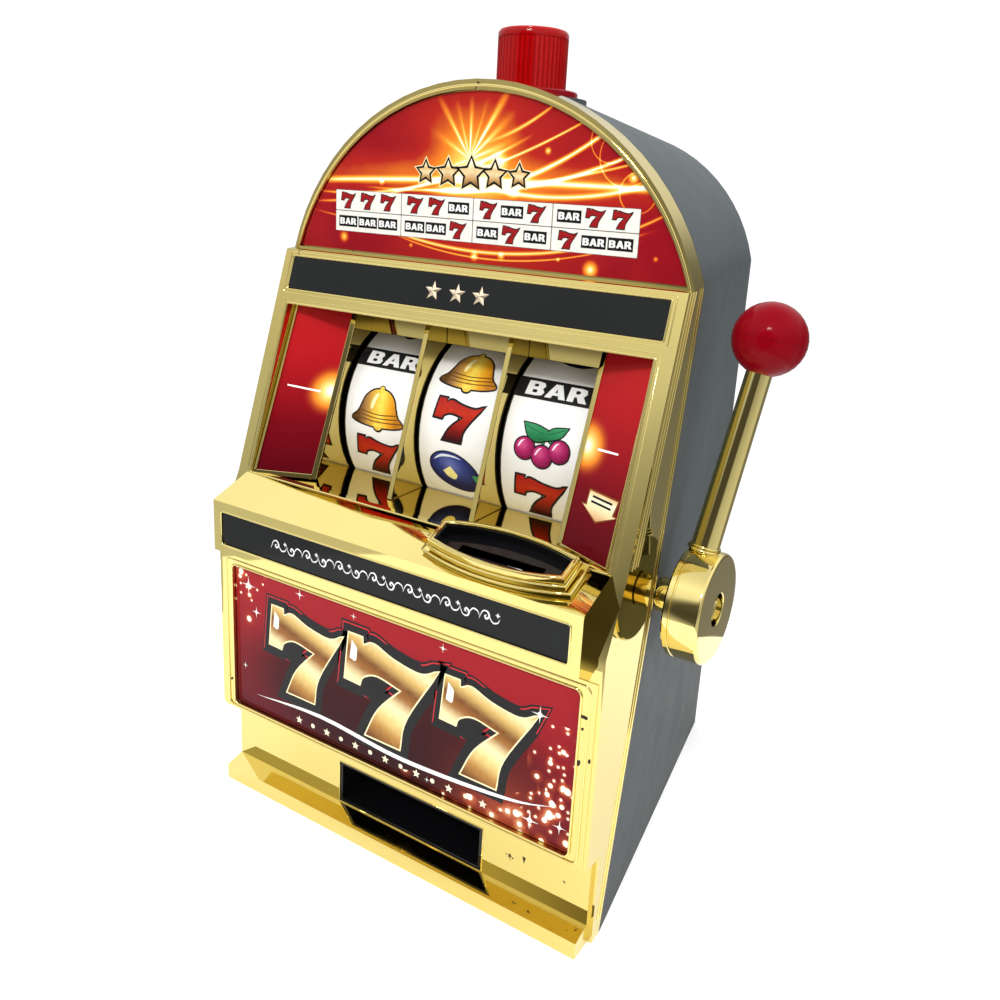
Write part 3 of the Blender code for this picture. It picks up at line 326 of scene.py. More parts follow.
def burst_material():
    """Red arched panel: burst of rays, light streaks, glowing dots and faint rings."""
    s = Shader("top_print")
    x, _, z = s.split()
    length = away(s, x, z, BURST)
    angle = s.math("ARCTAN2", s.minus(z, BURST[1] * MM), s.minus(x, BURST[0] * MM))
    band = s.math("ABSOLUTE", s.minus(z, 314.5 * MM))
    lights = [s.span(band, 0.0, 13 * MM, 0.20, 0.0, True)]
    for turn, sharp, reach, gain in RAYS:
        along = s.math("MAXIMUM", s.math("COSINE", s.minus(angle, math.radians(turn))), 0.0)
        lights.append(s.times(s.math("POWER", along, sharp),
                              s.span(length, 0.0, reach * MM, gain, 0.0, True)))
    lights += [streak(s, x, z, *spec) for spec in STREAKS]
    lights += [glow_spot(s, x, z, *spec) for spec in DOTS]
    for centre, radius in RINGS:
        edge = s.math("ABSOLUTE", s.minus(away(s, x, z, centre), radius * MM))
        lights.append(s.span(edge, 0.0, 0.5 * MM, 0.34, 0.0))
    mottle = s.grain(40.0, -0.03, 0.05, 3.0)
    return printed(s, s.ramp(s.plus(*lights, mottle), FIRE))


def belly_material():
    """Red panel: darker to the foot, with a cloud of warm sparkles in two corners."""
    s = Shader("belly_print")
    x, _, z = s.split()
    shade = s.ramp(s.span(z, 0.0476, 0.1241), (
        (0.0, (0.09, 0.003, 0.010)), (0.35, (0.18, 0.005, 0.011)), (0.75, (0.30, 0.009, 0.015)),
        (1.0, (0.36, 0.012, 0.019))))
    lights = []
    left = s.times(s.span(x, -0.098, -0.050, 1.0, 0.0), s.span(z, 0.074, 0.108))
    upper = s.times(s.span(x, -0.090, -0.020, 1.0, 0.0), s.span(z, 0.108, 0.124, 0.0, 0.9))
    low = s.times(s.span(x, -0.03, 0.09, 0.25, 1.0), s.span(z, 0.050, 0.070, 1.0, 0.0))
    right = s.times(s.span(x, 0.060, 0.088), s.span(z, 0.124, 0.090, 0.25, 1.0))
    masks = s.math("MINIMUM", s.plus(s.math("MAXIMUM", left, upper), low, right), 1.0)
    flat = s.add("ShaderNodeCombineXYZ", {0: x, 1: z})[0]
    for scale, size, part in ((150.0, 0.24, 0.50), (270.0, 0.25, 0.56), (80.0, 0.18, 0.44)):
        cells = s.add("ShaderNodeTexVoronoi", voronoi_dimensions="2D", feature="F1")
        s.feed(cells[0].node.inputs["Vector"], flat)
        s.feed(cells[0].node.inputs["Scale"], scale)
        chance = s.add("ShaderNodeSeparateColor", {0: cells["Color"]})[0]
        kept = s.math("GREATER_THAN", s.times(chance, s.plus(masks, 0.02)), part)
        dot = s.span(cells["Distance"], size * 0.55, size, 1.0, 0.0, True)
        halo = s.span(cells["Distance"], 0.0, size * 2.4, 0.35, 0.0)
        lights.append(s.times(s.math("MAXIMUM", dot, halo), kept))
    warm = glow_spot(s, x, z, (62.0, 50.0), 46.0, 1.4, 0.35)
    amount = s.math("MINIMUM", s.plus(*lights, warm), 1.0)
    wide = s.times(x, 1.0 / 0.088)
    tall = s.times(s.minus(z, 0.0745), 1.0 / 0.034)
    cloud = s.plus(s.times(wide, wide), s.times(tall, tall))
    shade = s.mix(s.span(cloud, 0.35, 1.35, 0.85, 0.0, True), shade, (0.012, 0.003, 0.004))
    hot = s.ramp(amount, ((0.0, (0.30, 0.01, 0.012)), (0.35, (0.85, 0.16, 0.05)),
                          (0.7, (1.0, 0.55, 0.25)), (1.0, (1.0, 0.93, 0.78))))
    return printed(s, s.mix(amount, shade, hot))


def side_print_material(name, side):
    """Red panel beside the reels: lighter at the top, with the payline's glow at its inner edge."""
    s = Shader(name)
    x, _, z = s.split()
    shade = s.ramp(s.span(z, 0.168, 0.250), (
        (0.0, (0.085, 0.002, 0.006)), (0.30, (0.16, 0.003, 0.008)), (0.72, (0.42, 0.010, 0.014)),
        (1.0, (0.52, 0.016, 0.018))))
    glow = glow_spot(s, x, z, (side * 71.0, 209.5), 13.5, 1.7)
    hot = s.ramp(glow, ((0.0, (0.45, 0.02, 0.015)), (0.3, (0.95, 0.30, 0.03)), (0.6, (1.0, 0.72, 0.2)),
                        (0.85, (1.0, 0.97, 0.8)), (1.0, (1.0, 1.0, 1.0))))
    return printed(s, s.mix(s.span(glow, 0.0, 0.25), shade, hot))


def ink_material(name, rough):
    """Ink whose colours are stored on the printed shapes, with a fine printing grain."""
    s = Shader(name)
    read = s.add("ShaderNodeVertexColor", layer_name="Ink")[0]
    grain = s.grain(420.0, 0.92, 1.05)
    return s.done(Base_Color=s.mix(1.0, read, grain, "MULTIPLY"), Specular_IOR_Level=0.16,
                  Roughness=s.grain(60.0, rough * 0.8, rough * 1.25))


def strip_material(name, x):
    """White reel paper with a black line along its left edge and faint yellowing."""
    s = Shader(name)
    edge = x - STRIP_HALF
    line = s.span(s.split()[0], (edge + 0.6) * MM, (edge + 0.8) * MM, 1.0, 0.0)
    paper = s.mix(s.span(s.noise(30.0, 3.0), 0.35, 0.7), (0.90, 0.89, 0.85), (0.97, 0.97, 0.95))
    return s.done(Base_Color=s.mix(line, paper, (0.012, 0.012, 0.012)),
                  Roughness=s.grain(80.0, 0.32, 0.42))


def lens_material(name, colour, rough, clear):
    """Tinted see-through plastic."""
    s = Shader(name)
    tone = s.mix(s.grain(45.0, 0.0, 1.0), scaled(colour, 0.8), colour)
    return s.done(Base_Color=tone, Transmission_Weight=clear, Specular_IOR_Level=0.15, IOR=1.46,
                  Roughness=s.grain(90.0, rough * 0.7, rough * 1.4))


def wrap_material():
    """Printed battery sleeve with a copper-coloured end."""
    s = Shader("battery_sleeve")
    tone = s.ramp(s.span(s.split()[1], 0.030, 0.085),
                  ((0.0, (0.02, 0.02, 0.022)), (0.73, (0.62, 0.30, 0.08))), "CONSTANT")
    return s.done(Base_Color=tone, Metallic=0.4, Roughness=s.grain(50.0, 0.22, 0.32))


# ------------------------------------------------------------------ flat shapes


def smooth_loop(points, steps=5):
    """Closed outline through points (x, y); a third value marks a corner, and the rest curve."""
    count = len(points)
    result = []
    for index in range(count):
        before, here, after, beyond = (points[(index + k) % count] for k in (-1, 0, 1, 2))
        start = Vector(here[:2])
        end = Vector(after[:2])
        chord = end - start
        first = chord if len(here) > 2 else (end - Vector(before[:2])) * 0.5
        second = chord if len(after) > 2 else (Vector(beyond[:2]) - start) * 0.5
        straight = len(here) > 2 and len(after) > 2
        for step in range(1 if straight else steps):
            t = step / steps
            a = 2 * t ** 3 - 3 * t ** 2 + 1
            b = t ** 3 - 2 * t ** 2 + t
            c = 3 * t ** 2 - 2 * t ** 3
            d = t ** 3 - t ** 2
            spot = start * a + first * b + end * c + second * d
            result.append((spot.x, spot.y))
    return result


def signed_area(loop):
    return sum(a[0] * b[1] - b[0] * a[1] for a, b in zip(loop, loop[1:] + loop[:1])) / 2.0


def grown(loop, width):
    """The outline moved outward by a width, with its corners kept from running away."""
    side = 1.0 if signed_area(loop) > 0 else -1.0
    spots = [Vector(point) for point in loop]
    edges = [after - here for here, after in zip(spots, spots[1:] + spots[:1])]
    moved = []
    for index, here in enumerate(spots):
        back = edges[index - 1].normalized()
        ahead = edges[index].normalized()
        out = Vector((ahead.y, -ahead.x))
        normal = Vector((back.y, -back.x)) + out
        if normal.length < 1e-6:
            normal = out.copy()
        normal.normalize()
        moved.append(here + normal * (side * width / max(0.55, normal.dot(out))))
    # In a hollow the moved points pass each other; edges that now run backwards are left out.
    turned = [(after - here).dot(edge) <= 0
              for here, after, edge in zip(moved, moved[1:] + moved[:1], edges)]
    return [tuple(spot) for k, spot in enumerate(moved) if not (turned[k] and turned[k - 1])]


def circle_loop(centre, radius, steps=24, squash=1.0, turn=0.0):
    result = []
    for index in range(steps):
        angle = math.tau * index / steps
        u = radius * math.cos(angle)
        v = radius * squash * math.sin(angle)
        result.append((centre[0] + u * math.cos(turn) - v * math.sin(turn),
                       centre[1] + u * math.sin(turn) + v * math.cos(turn)))
    return result


def star_loop(radius, inner=0.42, centre=(0.0, 0.0), arms=5):
    result = []
    for index in range(2 * arms):
        reach = radius if index % 2 == 0 else radius * inner
        angle = math.pi / 2 + math.pi * index / arms
        result.append((centre[0] + reach * math.cos(angle), centre[1] + reach * math.sin(angle)))
    return result


def bar_loop(start, end, width, end_width=None):
    """A straight stroke from start to end."""
    start, end = Vector(start), Vector(end)
    along = (end - start).normalized()
    side = Vector((-along.y, along.x)) / 2.0
    near, far = side * width, side * (end_width or width)
    return [tuple(spot) for spot in (start - near, end - far, end + far, start + near)]


def box_loop(low_u, high_u, low_v, high_v):
    return [(low_u, low_v), (high_u, low_v), (high_u, high_v), (low_u, high_v)]


def ribbon(points, first_width, last_width, steps=6):
    """Outline of a stroke along a smooth open line, changing from one width to another."""
    loop = smooth_loop([(*points[0], 1), *points[1:-1], (*points[-1], 1)], steps)
    line = [Vector(spot) for spot in loop[:(len(points) - 1) * steps + 1]]
    last = len(line) - 1
    left, right = [], []
    for index, spot in enumerate(line):
        ahead = line[min(index + 1, last)] - line[max(index - 1, 0)]
        share = index / last
        swell = 0.35 + 1.3 * math.sin(math.pi * share)
        half = (first_width + (last_width - first_width) * share) / 2.0 * swell
        side = Vector((-ahead.y, ahead.x)).normalized() * half
        left.append(tuple(spot + side))
        right.append(tuple(spot - side))
    return right + left[::-1]


SEVEN = smooth_loop([(-11.9, 9.7, 1), (-13.0, 0.4, 1), (-8.6, 0.2, 1), (-7.6, 2.0), (-3.6, 3.3),
                     (3.4, 2.2, 1), (-3.0, -3.6), (-6.6, -9.7, 1), (3.2, -9.7, 1), (4.8, -3.0),
                     (13.0, 8.6, 1), (8.4, 6.8), (1.0, 7.6), (-4.6, 9.2), (-7.6, 8.3), (-8.0, 9.7, 1)])
BELL_HALF = [(0.0, 9.2), (-4.8, 8.3), (-8.6, 5.0), (-10.4, 0.6), (-12.0, -3.0), (-14.9, -5.6, 1),
             (-15.0, -7.2), (-9.0, -8.8), (0.0, -9.4)]
BELL = smooth_loop(BELL_HALF + [(-spot[0], *spot[1:]) for spot in BELL_HALF[-2:0:-1]])
LETTERS = {
    "B": (0.0, [[(0, 0), (5.6, 0), (8.4, 0.5), (9.2, 2.1), (8.0, 3.7), (8.9, 5.2), (7.9, 6.8),
                 (5.2, 7.2), (0, 7.2)],
                [(3.2, 1.4), (5.2, 1.4), (5.8, 2.15), (5.2, 2.9), (3.2, 2.9)],
                [(3.2, 4.4), (4.9, 4.4), (5.4, 5.1), (4.9, 5.8), (3.2, 5.8)]]),
    "A": (9.9, [[(0, 0), (3.2, 0), (3.8, 1.5), (6.5, 1.5), (7.1, 0), (10.4, 0), (6.9, 7.2),
                 (3.5, 7.2)], [(4.5, 2.9), (5.8, 2.9), (5.15, 4.9)]]),
    "R": (21.0, [[(0, 0), (3.2, 0), (3.2, 2.6), (4.3, 2.6), (5.8, 0), (9.8, 0), (7.6, 3.1),
                  (8.9, 4.7), (8.2, 6.7), (5.8, 7.2), (0, 7.2)],
                 [(3.2, 4.1), (4.9, 4.1), (5.5, 4.95), (4.9, 5.8), (3.2, 5.8)]]),
}
BAR_LONG = 30.8
BAR_TALL = 7.2
LEAF = smooth_loop([(1.0, 2.4, 1), (-3.4, 1.2), (-8.0, 3.4), (-10.8, 8.8, 1), (-5.0, 8.6), (0.6, 7.2),
                    (1.6, 6.4, 1), (4.6, 8.4), (11.0, 9.4, 1), (8.6, 5.4), (5.2, 3.6)])
ARROW = [(-9.6, 6.6), (9.6, 6.6), (8.8, -1.6), (11.6, -1.6), (0.0, -7.8), (-11.6, -1.6), (-8.8, -1.6)]


def fill(work, loops):
    """Fill outlines with triangles; an outline inside another is a hole."""
    edges = []
    for loop in loops:
        corners = [work.verts.new((u, v, 0.0)) for u, v in loop]
        edges += [work.edges.new(pair) for pair in zip(corners, corners[1:] + corners[:1])]
    bmesh.ops.triangle_fill(work, use_beauty=True, use_dissolve=False, edges=edges)


class Prints:
    """Thin printed shapes on one surface, each at its own height above it, as one piece."""

    def __init__(self, name, place, body="cabinet", bend=None, fine=2.2):
        self.name = name
        self.body = body
        self.place = place
        self.bend = bend
        self.fine = fine
        self.work = bmesh.new()
        self.ink = self.work.loops.layers.float_color.new("Ink")

    def shape(self, loops, colour, lift, at=(0.0, 0.0), size=(1.0, 1.0), turn=0.0):
        """Colour is three numbers, or a function that gives them from a place on the shape."""
        part = bmesh.new()
        fill(part, loops)
        shaded = callable(colour)
        if shaded:
            self.slice(part, 0, self.fine / abs(size[0]))
            self.slice(part, 1, self.fine / abs(size[1]))
        for vert in part.verts:
            vert.co.x *= size[0]
            vert.co.y *= size[1]
        swing = Matrix.Rotation(turn, 3, "Z")
        shift = Vector((*at, 0.0))
        flat = {}
        for vert in part.verts:
            flat[vert] = (vert.co.x / size[0], vert.co.y / size[1])
            vert.co = swing @ vert.co + shift
        if self.bend:
            self.slice(part, 1, self.bend)
            for vert in part.verts:
                if vert not in flat:
                    local = swing.inverted() @ (vert.co - shift)
                    flat[vert] = (local.x / size[0], local.y / size[1])
        copies = {}
        tones = {}
        for vert in part.verts:
            made = self.work.verts.new(self.place(vert.co.x, vert.co.y, lift) * MM)
            copies[vert] = made
            tones[made] = colour(*flat[vert]) if shaded else colour
        for face in part.faces:
            middle = face.calc_center_median()
            outward = self.place(middle.x, middle.y, 1.0) - self.place(middle.x, middle.y, 0.0)
            made = self.work.faces.new([copies[vert] for vert in face.verts])
            made.normal_update()
            if made.normal.dot(outward) < 0:
                made.normal_flip()
            for loop in made.loops:
                loop[self.ink] = (*tones[loop.vert], 1.0)
        part.free()

    @staticmethod
    def slice(part, axis, pitch):
        low = min(vert.co[axis] for vert in part.verts)
        high = max(vert.co[axis] for vert in part.verts)
        normal = Vector((0.0, 0.0, 0.0))
        normal[axis] = 1.0
        at = (math.floor(low / pitch) + 1) * pitch
        while at < high - 1e-4:
            spot = normal * at
            bmesh.ops.bisect_plane(part, geom=part.verts[:] + part.edges[:] + part.faces[:],
                                   plane_co=spot, plane_no=normal)
            at += pitch

    def word_bar(self, at, size, lift, colour):
        """The generic reel word, centred."""
        for shift, loops in LETTERS.values():
            moved = [[(u + shift - BAR_LONG / 2, v - BAR_TALL / 2) for u, v in loop] for loop in loops]
            self.shape(moved, colour, lift, at, size)

    def finish(self, material):
        piece(self.name, self.work, material, self.body)


def piece(name, work, material, body="cabinet"):
    """Show a bmesh in frame metres as a piece that rides on a body."""
    mesh = bpy.data.meshes.new(name)
    work.to_mesh(mesh)
    work.free()
    return keep(name, mesh, material, body)


def keep(name, mesh, material, body):
    mesh.materials.clear()
    mesh.materials.append(material)
    made = bpy.data.objects.new(name, mesh)
    bpy.context.scene.collection.objects.link(made)
    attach(made, body)
    return made


def at_frame(x, y, z):
    """Frame place in millimetres of a point whose depth is counted from the lip."""
    return Vector((x, y - Y_ORIGIN, z))


def flat_place(start, across=(1.0, 0.0, 0.0), up=(0.0, 0.0, 1.0)):
    """Places on a plane; heights go towards the front."""
    u_dir = Vector(across).normalized()
    normal = u_dir.cross(Vector(up)).normalized()
    v_dir = normal.cross(u_dir)
    origin = at_frame(*start)
    return lambda u, v, lift: origin + u_dir * u + v_dir * v + normal * lift


def reel_place(x):
    def place(u, v, lift):
        angle = v / STRIP_R
        reach = STRIP_R + lift
        return at_frame(x + u, REEL_Y - reach * math.cos(angle), REEL_Z + reach * math.sin(angle))
    return place


def blend_of(stops):
    """Colour function: stops (place, colour) along a number."""
    def pick(value):
        if value <= stops[0][0]:
            return stops[0][1]
        for (low, first), (high, second) in zip(stops, stops[1:]):
            if value <= high:
                t = (value - low) / (high - low)
                return tuple(a + (b - a) * t for a, b in zip(first, second))
        return stops[-1][1]
    return pick


INK = (0.012, 0.011, 0.012)
PAPER = (0.86, 0.86, 0.84)
BELL_TONES = blend_of((
    (-12.0, (0.10, 0.045, 0.012)), (-7.5, (0.42, 0.20, 0.06)), (-3.0, (0.85, 0.50, 0.05)),
    (1.5, (1.0, 0.74, 0.10)), (6.0, (0.92, 0.42, 0.02)), (11.0, (0.55, 0.20, 0.01))))
SEVEN_TONES = blend_of((
    (-8.5, (0.05, 0.003, 0.003)), (-5.5, (0.17, 0.007, 0.005)), (-1.5, (0.35, 0.014, 0.008)),
    (4.0, (0.52, 0.030, 0.010)), (9.0, (0.42, 0.014, 0.010))))
LEAF_TONES = blend_of(((0.0, (0.01, 0.09, 0.03)), (5.0, (0.02, 0.20, 0.07)), (10.0, (0.04, 0.30, 0.12))))


def cherry_tone(centre, radius):
    pick = blend_of(((0.0, (0.66, 0.10, 0.27)), (0.5, (0.44, 0.02, 0.13)), (1.0, (0.20, 0.005, 0.05))))
    spot = Vector((centre[0] - radius * 0.3, centre[1] + radius * 0.3))
    return lambda u, v: pick((Vector((u, v)) - spot).length / (1.3 * radius))


def draw_seven(sheet, at):
    sheet.shape([grown(SEVEN, 1.05)], INK, 0.05, at)
    sheet.shape([SEVEN], lambda u, v: SEVEN_TONES(v), 0.09, at)


def draw_bell(sheet, at):
    sheet.shape([grown(BELL, 0.85)], INK, 0.05, at)
    sheet.shape([circle_loop((0.0, 9.4), 2.0)], INK, 0.05, at)
    sheet.shape([circle_loop((0.0, 9.6), 1.3)], (0.95, 0.66, 0.08), 0.09, at)
    sheet.shape([circle_loop((0.4, -8.6), 3.4)], INK, 0.05, at)
    sheet.shape([BELL], lambda u, v: BELL_TONES(u), 0.09, at)
    sheet.shape([circle_loop((0.4, -8.4), 2.6)], lambda u, v: BELL_TONES(1.5 + (v + 8.4) * 1.5), 0.12, at)
    for rise, half in ((-1.8, 11.4), (-3.6, 12.6), (-5.4, 14.6)):
        line = smooth_loop([(-half, rise - 0.5), (0.0, rise - 1.7), (half, rise - 0.5),
                            (half, rise), (0.0, rise - 1.2), (-half, rise)])
        sheet.shape([line], (0.16, 0.07, 0.01), 0.13, at)
    shine = smooth_loop([(-2.6, 6.8), (-4.6, 3.0), (-4.9, -0.6), (-3.4, -0.4), (-2.2, 3.4), (-1.0, 6.8)])
    sheet.shape([shine], (1.0, 0.86, 0.42), 0.13, at)


def draw_cherries(sheet, at):
    spots = ((-8.7, -2.6), (8.6, -1.4), (0.3, -5.0))
    for spot in spots:
        sheet.shape([bar_loop(spot, (0.0, 4.8), 2.0, 1.6)], INK, 0.05, at)
        sheet.shape([bar_loop(spot, (0.0, 4.8), 1.0, 0.8)], (0.03, 0.26, 0.09), 0.08, at)
    for spot in spots:
        sheet.shape([circle_loop(spot, 5.6, 30)], INK, 0.10, at)
        sheet.shape([circle_loop(spot, 4.9, 30)], cherry_tone(spot, 4.9), 0.12, at)
        gleam = smooth_loop([(spot[0] - 3.6, spot[1] + 0.4), (spot[0] - 2.4, spot[1] + 3.0),
                             (spot[0] - 0.4, spot[1] + 3.9), (spot[0] - 1.6, spot[1] + 2.6),
                             (spot[0] - 2.8, spot[1] + 0.6)])
        sheet.shape([gleam], (0.98, 0.72, 0.82), 0.14, at)
    sheet.shape([grown(LEAF, 0.6)], INK, 0.15, at)
    sheet.shape([LEAF], lambda u, v: LEAF_TONES(v + abs(u) * 0.2), 0.17, at)
    sheet.shape([bar_loop((-9.6, 7.6), (0.2, 5.0), 0.35)], (0.01, 0.10, 0.03), 0.19, at)
    sheet.shape([bar_loop((1.6, 5.2), (10.0, 8.6), 0.35)], (0.01, 0.10, 0.03), 0.19, at)


def draw_plum(sheet, at):
    turn = math.radians(-17.0)
    pick = blend_of(((0.0, (0.16, 0.20, 0.52)), (0.5, (0.035, 0.055, 0.26)), (1.0, (0.008, 0.01, 0.07))))

    def tone(u, v):
        return pick(Vector(((u + 3.0) / 15.0, (v - 2.6) / 9.5)).length)

    sheet.shape([circle_loop((0.0, 0.0), 14.9, 40, 0.66)], INK, 0.05, at, (1, 1), turn)
    sheet.shape([circle_loop((0.0, 0.0), 14.1, 40, 0.655)], tone, 0.08, at, (1, 1), turn)
    rim = smooth_loop([(-12.6, 1.2), (-9.6, 5.6), (-3.0, 8.0), (1.4, 8.1), (-3.4, 7.0), (-9.0, 4.4)])
    sheet.shape([rim], (0.80, 0.84, 0.95), 0.12, at, (1, 1), turn)
    sheet.shape([smooth_loop([(-6.6, -2.4, 1), (-3.4, 1.8, 1), (1.6, -1.0, 1), (0.8, -4.0), (-3.0, -4.4)])],
                (0.98, 0.86, 0.36), 0.12, at, (1, 1), turn)
    sheet.shape([smooth_loop([(9.0, 3.0, 1), (12.6, 4.2), (15.4, 2.0, 1), (12.0, 0.6)])],
                (0.05, 0.30, 0.12), 0.12, at, (1, 1), turn)


def draw_bar(sheet, at):
    half = STRIP_HALF - 0.1
    sheet.shape([box_loop(-half - at[0], half - at[0], -5.2, 5.2)], INK, 0.05, at)
    sheet.word_bar(at, (1.0, 1.0), 0.10, PAPER)


DRAW = {"seven": draw_seven, "bell": draw_bell, "cherries": draw_cherries, "plum": draw_plum,
        "bar": draw_bar}
REEL_ORDER = (
    (11.8, ("bell", "bar", "cherries", "seven", "plum", "bar", "bell", "cherries", "bar", "plum",
            "cherries", "seven")),
    (14.0, ("seven", "bell", "bar", "plum", "cherries", "seven", "bar", "bell", "cherries", "seven",
            "bar", "plum")),
    (10.8, ("cherries", "bar", "plum", "seven", "bell", "bar", "cherries", "plum", "seven", "bar",
            "bell", "seven")))
SYMBOL_SHIFT = -0.3


def reel_prints():
    for index, (x, (first, order)) in enumerate(zip(REEL_X, REEL_ORDER)):
        sheet = Prints(f"reel_symbols_{index + 1}", reel_place(x), f"reel_{index + 1}", bend=1.6)
        for step, symbol in enumerate(order):
            angle = first + step * 360.0 / SYMBOLS_PER_REEL
            if angle > 180.0:
                angle -= 360.0
            DRAW[symbol](sheet, (SYMBOL_SHIFT, math.radians(angle) * STRIP_R))
        sheet.finish(ink_material(f"reel_ink_{index + 1}", 0.3))


def tube(name, points, radius, material=None, body="cabinet", closed=False):
    """A round bead through points given as frame millimetres."""
    data = bpy.data.curves.new(name, "CURVE")
    data.dimensions = "3D"
    data.bevel_depth = radius * MM
    data.bevel_resolution = 2
    data.use_fill_caps = not closed
    spline = data.splines.new("POLY")
    spline.points.add(len(points) - 1)
    for point, spot in zip(spline.points, points):
        point.co = (*(Vector(spot) * MM), 1.0)
    spline.use_cyclic_u = closed
    holder = bpy.data.objects.new(name, data)
    mesh = bpy.data.meshes.new_from_object(holder)
    bpy.data.objects.remove(holder)
    bpy.data.curves.remove(data)
    for face in mesh.polygons:
        face.use_smooth = True
    keep(name, mesh, material or GOLD_SMOOTH, body)


def between(start, end, count):
    """Evenly spaced points from start to end, count spaces long."""
    return [Vector(start).lerp(Vector(end), k / count) for k in range(count + 1)]


def around(centre, side, across, radius, count):
    """Points on a circle in the plane of two directions."""
    angles = [math.tau * k / count for k in range(count)]
    return [centre + (side * math.cos(turn) + across * math.sin(turn)) * radius for turn in angles]


def rounded_loop(low_u, high_u, low_v, high_v, radius, steps=5):
    points = []
    corners = ((high_u - radius, high_v - radius), (low_u + radius, high_v - radius),
               (low_u + radius, low_v + radius), (high_u - radius, low_v + radius))
    for quarter, (u, v) in enumerate(corners):
        for index in range(steps + 1):
            angle = math.radians(90.0 * quarter + 90.0 * index / steps)
            points.append((u + radius * math.cos(angle), v + radius * math.sin(angle)))
    return points


def plate(name, loops, place, low, high, material, edge=0.0):
    """Solid plate from outlines laid on a place function, from one height to another."""
    work = bmesh.new()
    fill(work, loops)
    for item in bmesh.ops.extrude_face_region(work, geom=list(work.faces))["geom"]:
        if isinstance(item, bmesh.types.BMVert):
            item.co.z = high - low
    for vert in work.verts:
        vert.co = place(vert.co.x, vert.co.y, vert.co.z + low) * MM
    bmesh.ops.recalc_face_normals(work, faces=work.faces)
    bmesh.ops.dissolve_limit(work, angle_limit=0.01, verts=work.verts, edges=work.edges)
    made = piece(name, work, material)
    if edge:
        round_edges(made, edge)


def shade_group():
    """Geometry nodes: drop stored normals, and smooth all but the sharp edges."""
    tree = bpy.data.node_groups.new("smooth_by_angle", "GeometryNodeTree")
    tree.interface.new_socket("Geometry", in_out="INPUT", socket_type="NodeSocketGeometry")
    limit = tree.interface.new_socket("Angle", in_out="INPUT", socket_type="NodeSocketFloat")
    limit.default_value = 0.6
    tree.interface.new_socket("Geometry", in_out="OUTPUT", socket_type="NodeSocketGeometry")
    g = Nodes(tree)
    start = g.add("NodeGroupInput")
    plain = g.add("GeometryNodeRemoveAttribute", {"Geometry": start["Geometry"], "Name": "custom_normal"})
    faces = g.add("GeometryNodeSetShadeSmooth", {"Geometry": plain["Geometry"], "Shade Smooth": True},
                  domain="FACE")
    angle = g.add("GeometryNodeInputMeshEdgeAngle")["Unsigned Angle"]
    sharp = g.add("FunctionNodeCompare", {0: angle, 1: start["Angle"]}, data_type="FLOAT",
                  operation="GREATER_THAN")[0]
    edges = g.add("GeometryNodeSetShadeSmooth", {"Geometry": faces["Geometry"], "Selection": sharp,
                                                 "Shade Smooth": False}, domain="EDGE")
    g.add("NodeGroupOutput", {"Geometry": edges["Geometry"]})
    return tree, limit.identifier


SMOOTH, SMOOTH_ANGLE = shade_group()
SMOOTH_DEGREES = 40.0
SLOTTED = ("rear_case", "base_plate")    # faces with rows of slots keep their triangles


def modify(target, name, kind, **settings):
    made = target.modifiers.new(name, kind)
    for key, value in settings.items():
        setattr(made, key, value)
    return made


def smooth_by_angle(target):
    modify(target, "Smooth", "NODES", node_group=SMOOTH)[SMOOTH_ANGLE] = math.radians(SMOOTH_DEGREES)


def round_edges(target, width):
    modify(target, "Weld", "WELD", merge_threshold=0.01 * MM)
    if target.name not in SLOTTED:
        modify(target, "Merge faces", "DECIMATE", decimate_type="DISSOLVE", angle_limit=math.radians(0.6))
    if width:
        modify(target, "Edges", "BEVEL", width=width * MM, segments=2, limit_method="ANGLE",
               angle_limit=math.radians(32.0), use_clamp_overlap=True, miter_outer="MITER_ARC")
    smooth_by_angle(target)
    modify(target, "Normals", "WEIGHTED_NORMAL", keep_sharp=True)


# -------------------------------------------------------------- looks of the nodes

GOLD = gold_material("gold_plate", chips=True)
GOLD_SMOOTH = gold_material("gold_bead", (0.80, 0.68, 0.28))
# painted shade: a darker copy of the shell's gold for the partitions inside the window
GOLD_SHADED_INSIDE = gold_material("gold_inside_painted_shade", (0.68, 0.55, 0.18))
# painted shade: a darker gold for the reel bezel, turning dark above 238 mm where the window's ceiling is
# in shade
GOLD_RECESS_SHADED = gold_material("gold_recess_painted_shade", (0.66, 0.53, 0.18), painted_shade_above=0.238)
# painted shade: the case darkens towards its foot
CASE = satin_material("case_grey_shaded_foot", (0.070, 0.085, 0.089), 0.50, foot=0.42)
BASE = satin_material("base_grey", (0.022, 0.023, 0.026), 0.45)
CHARCOAL = gloss_material("charcoal_panel", (0.013, 0.014, 0.014), 0.10, scratch=0.4, shine=0.13)
BLACK_GLOSS = gloss_material("black_tray", (0.004, 0.004, 0.005), 0.10, shine=0.3)
BLACK_SATIN = satin_material("black_inside", (0.015, 0.015, 0.017), 0.42)
BALL_LOOK = gloss_material("ball_plastic", (0.235, 0.001, 0.007), 0.09, scratch=0.1, shine=0.07)
RED_BASE = gloss_material("beacon_flange", (0.26, 0.002, 0.008), 0.14, shine=0.15)
LENS = lens_material("beacon_lens_plastic", (0.85, 0.001, 0.002), 0.10, 0.5)
LENS_RIB = lens_material("beacon_rib_plastic", (0.42, 0.0008, 0.002), 0.12, 0.2)
LED = gloss_material("led_resin", (0.62, 0.03, 0.02), 0.12, coat=0.3)
WHITE_PLASTIC = satin_material("gear_plastic", (0.78, 0.77, 0.72), 0.38, scratch=False)
SHEET_STEEL = metal_material("sheet_steel", (0.58, 0.58, 0.60), 0.32, (1.0, 0.06, 1.0))
BRIGHT_STEEL = metal_material("bright_steel", (0.72, 0.72, 0.74), 0.18, (0.06, 1.0, 1.0))
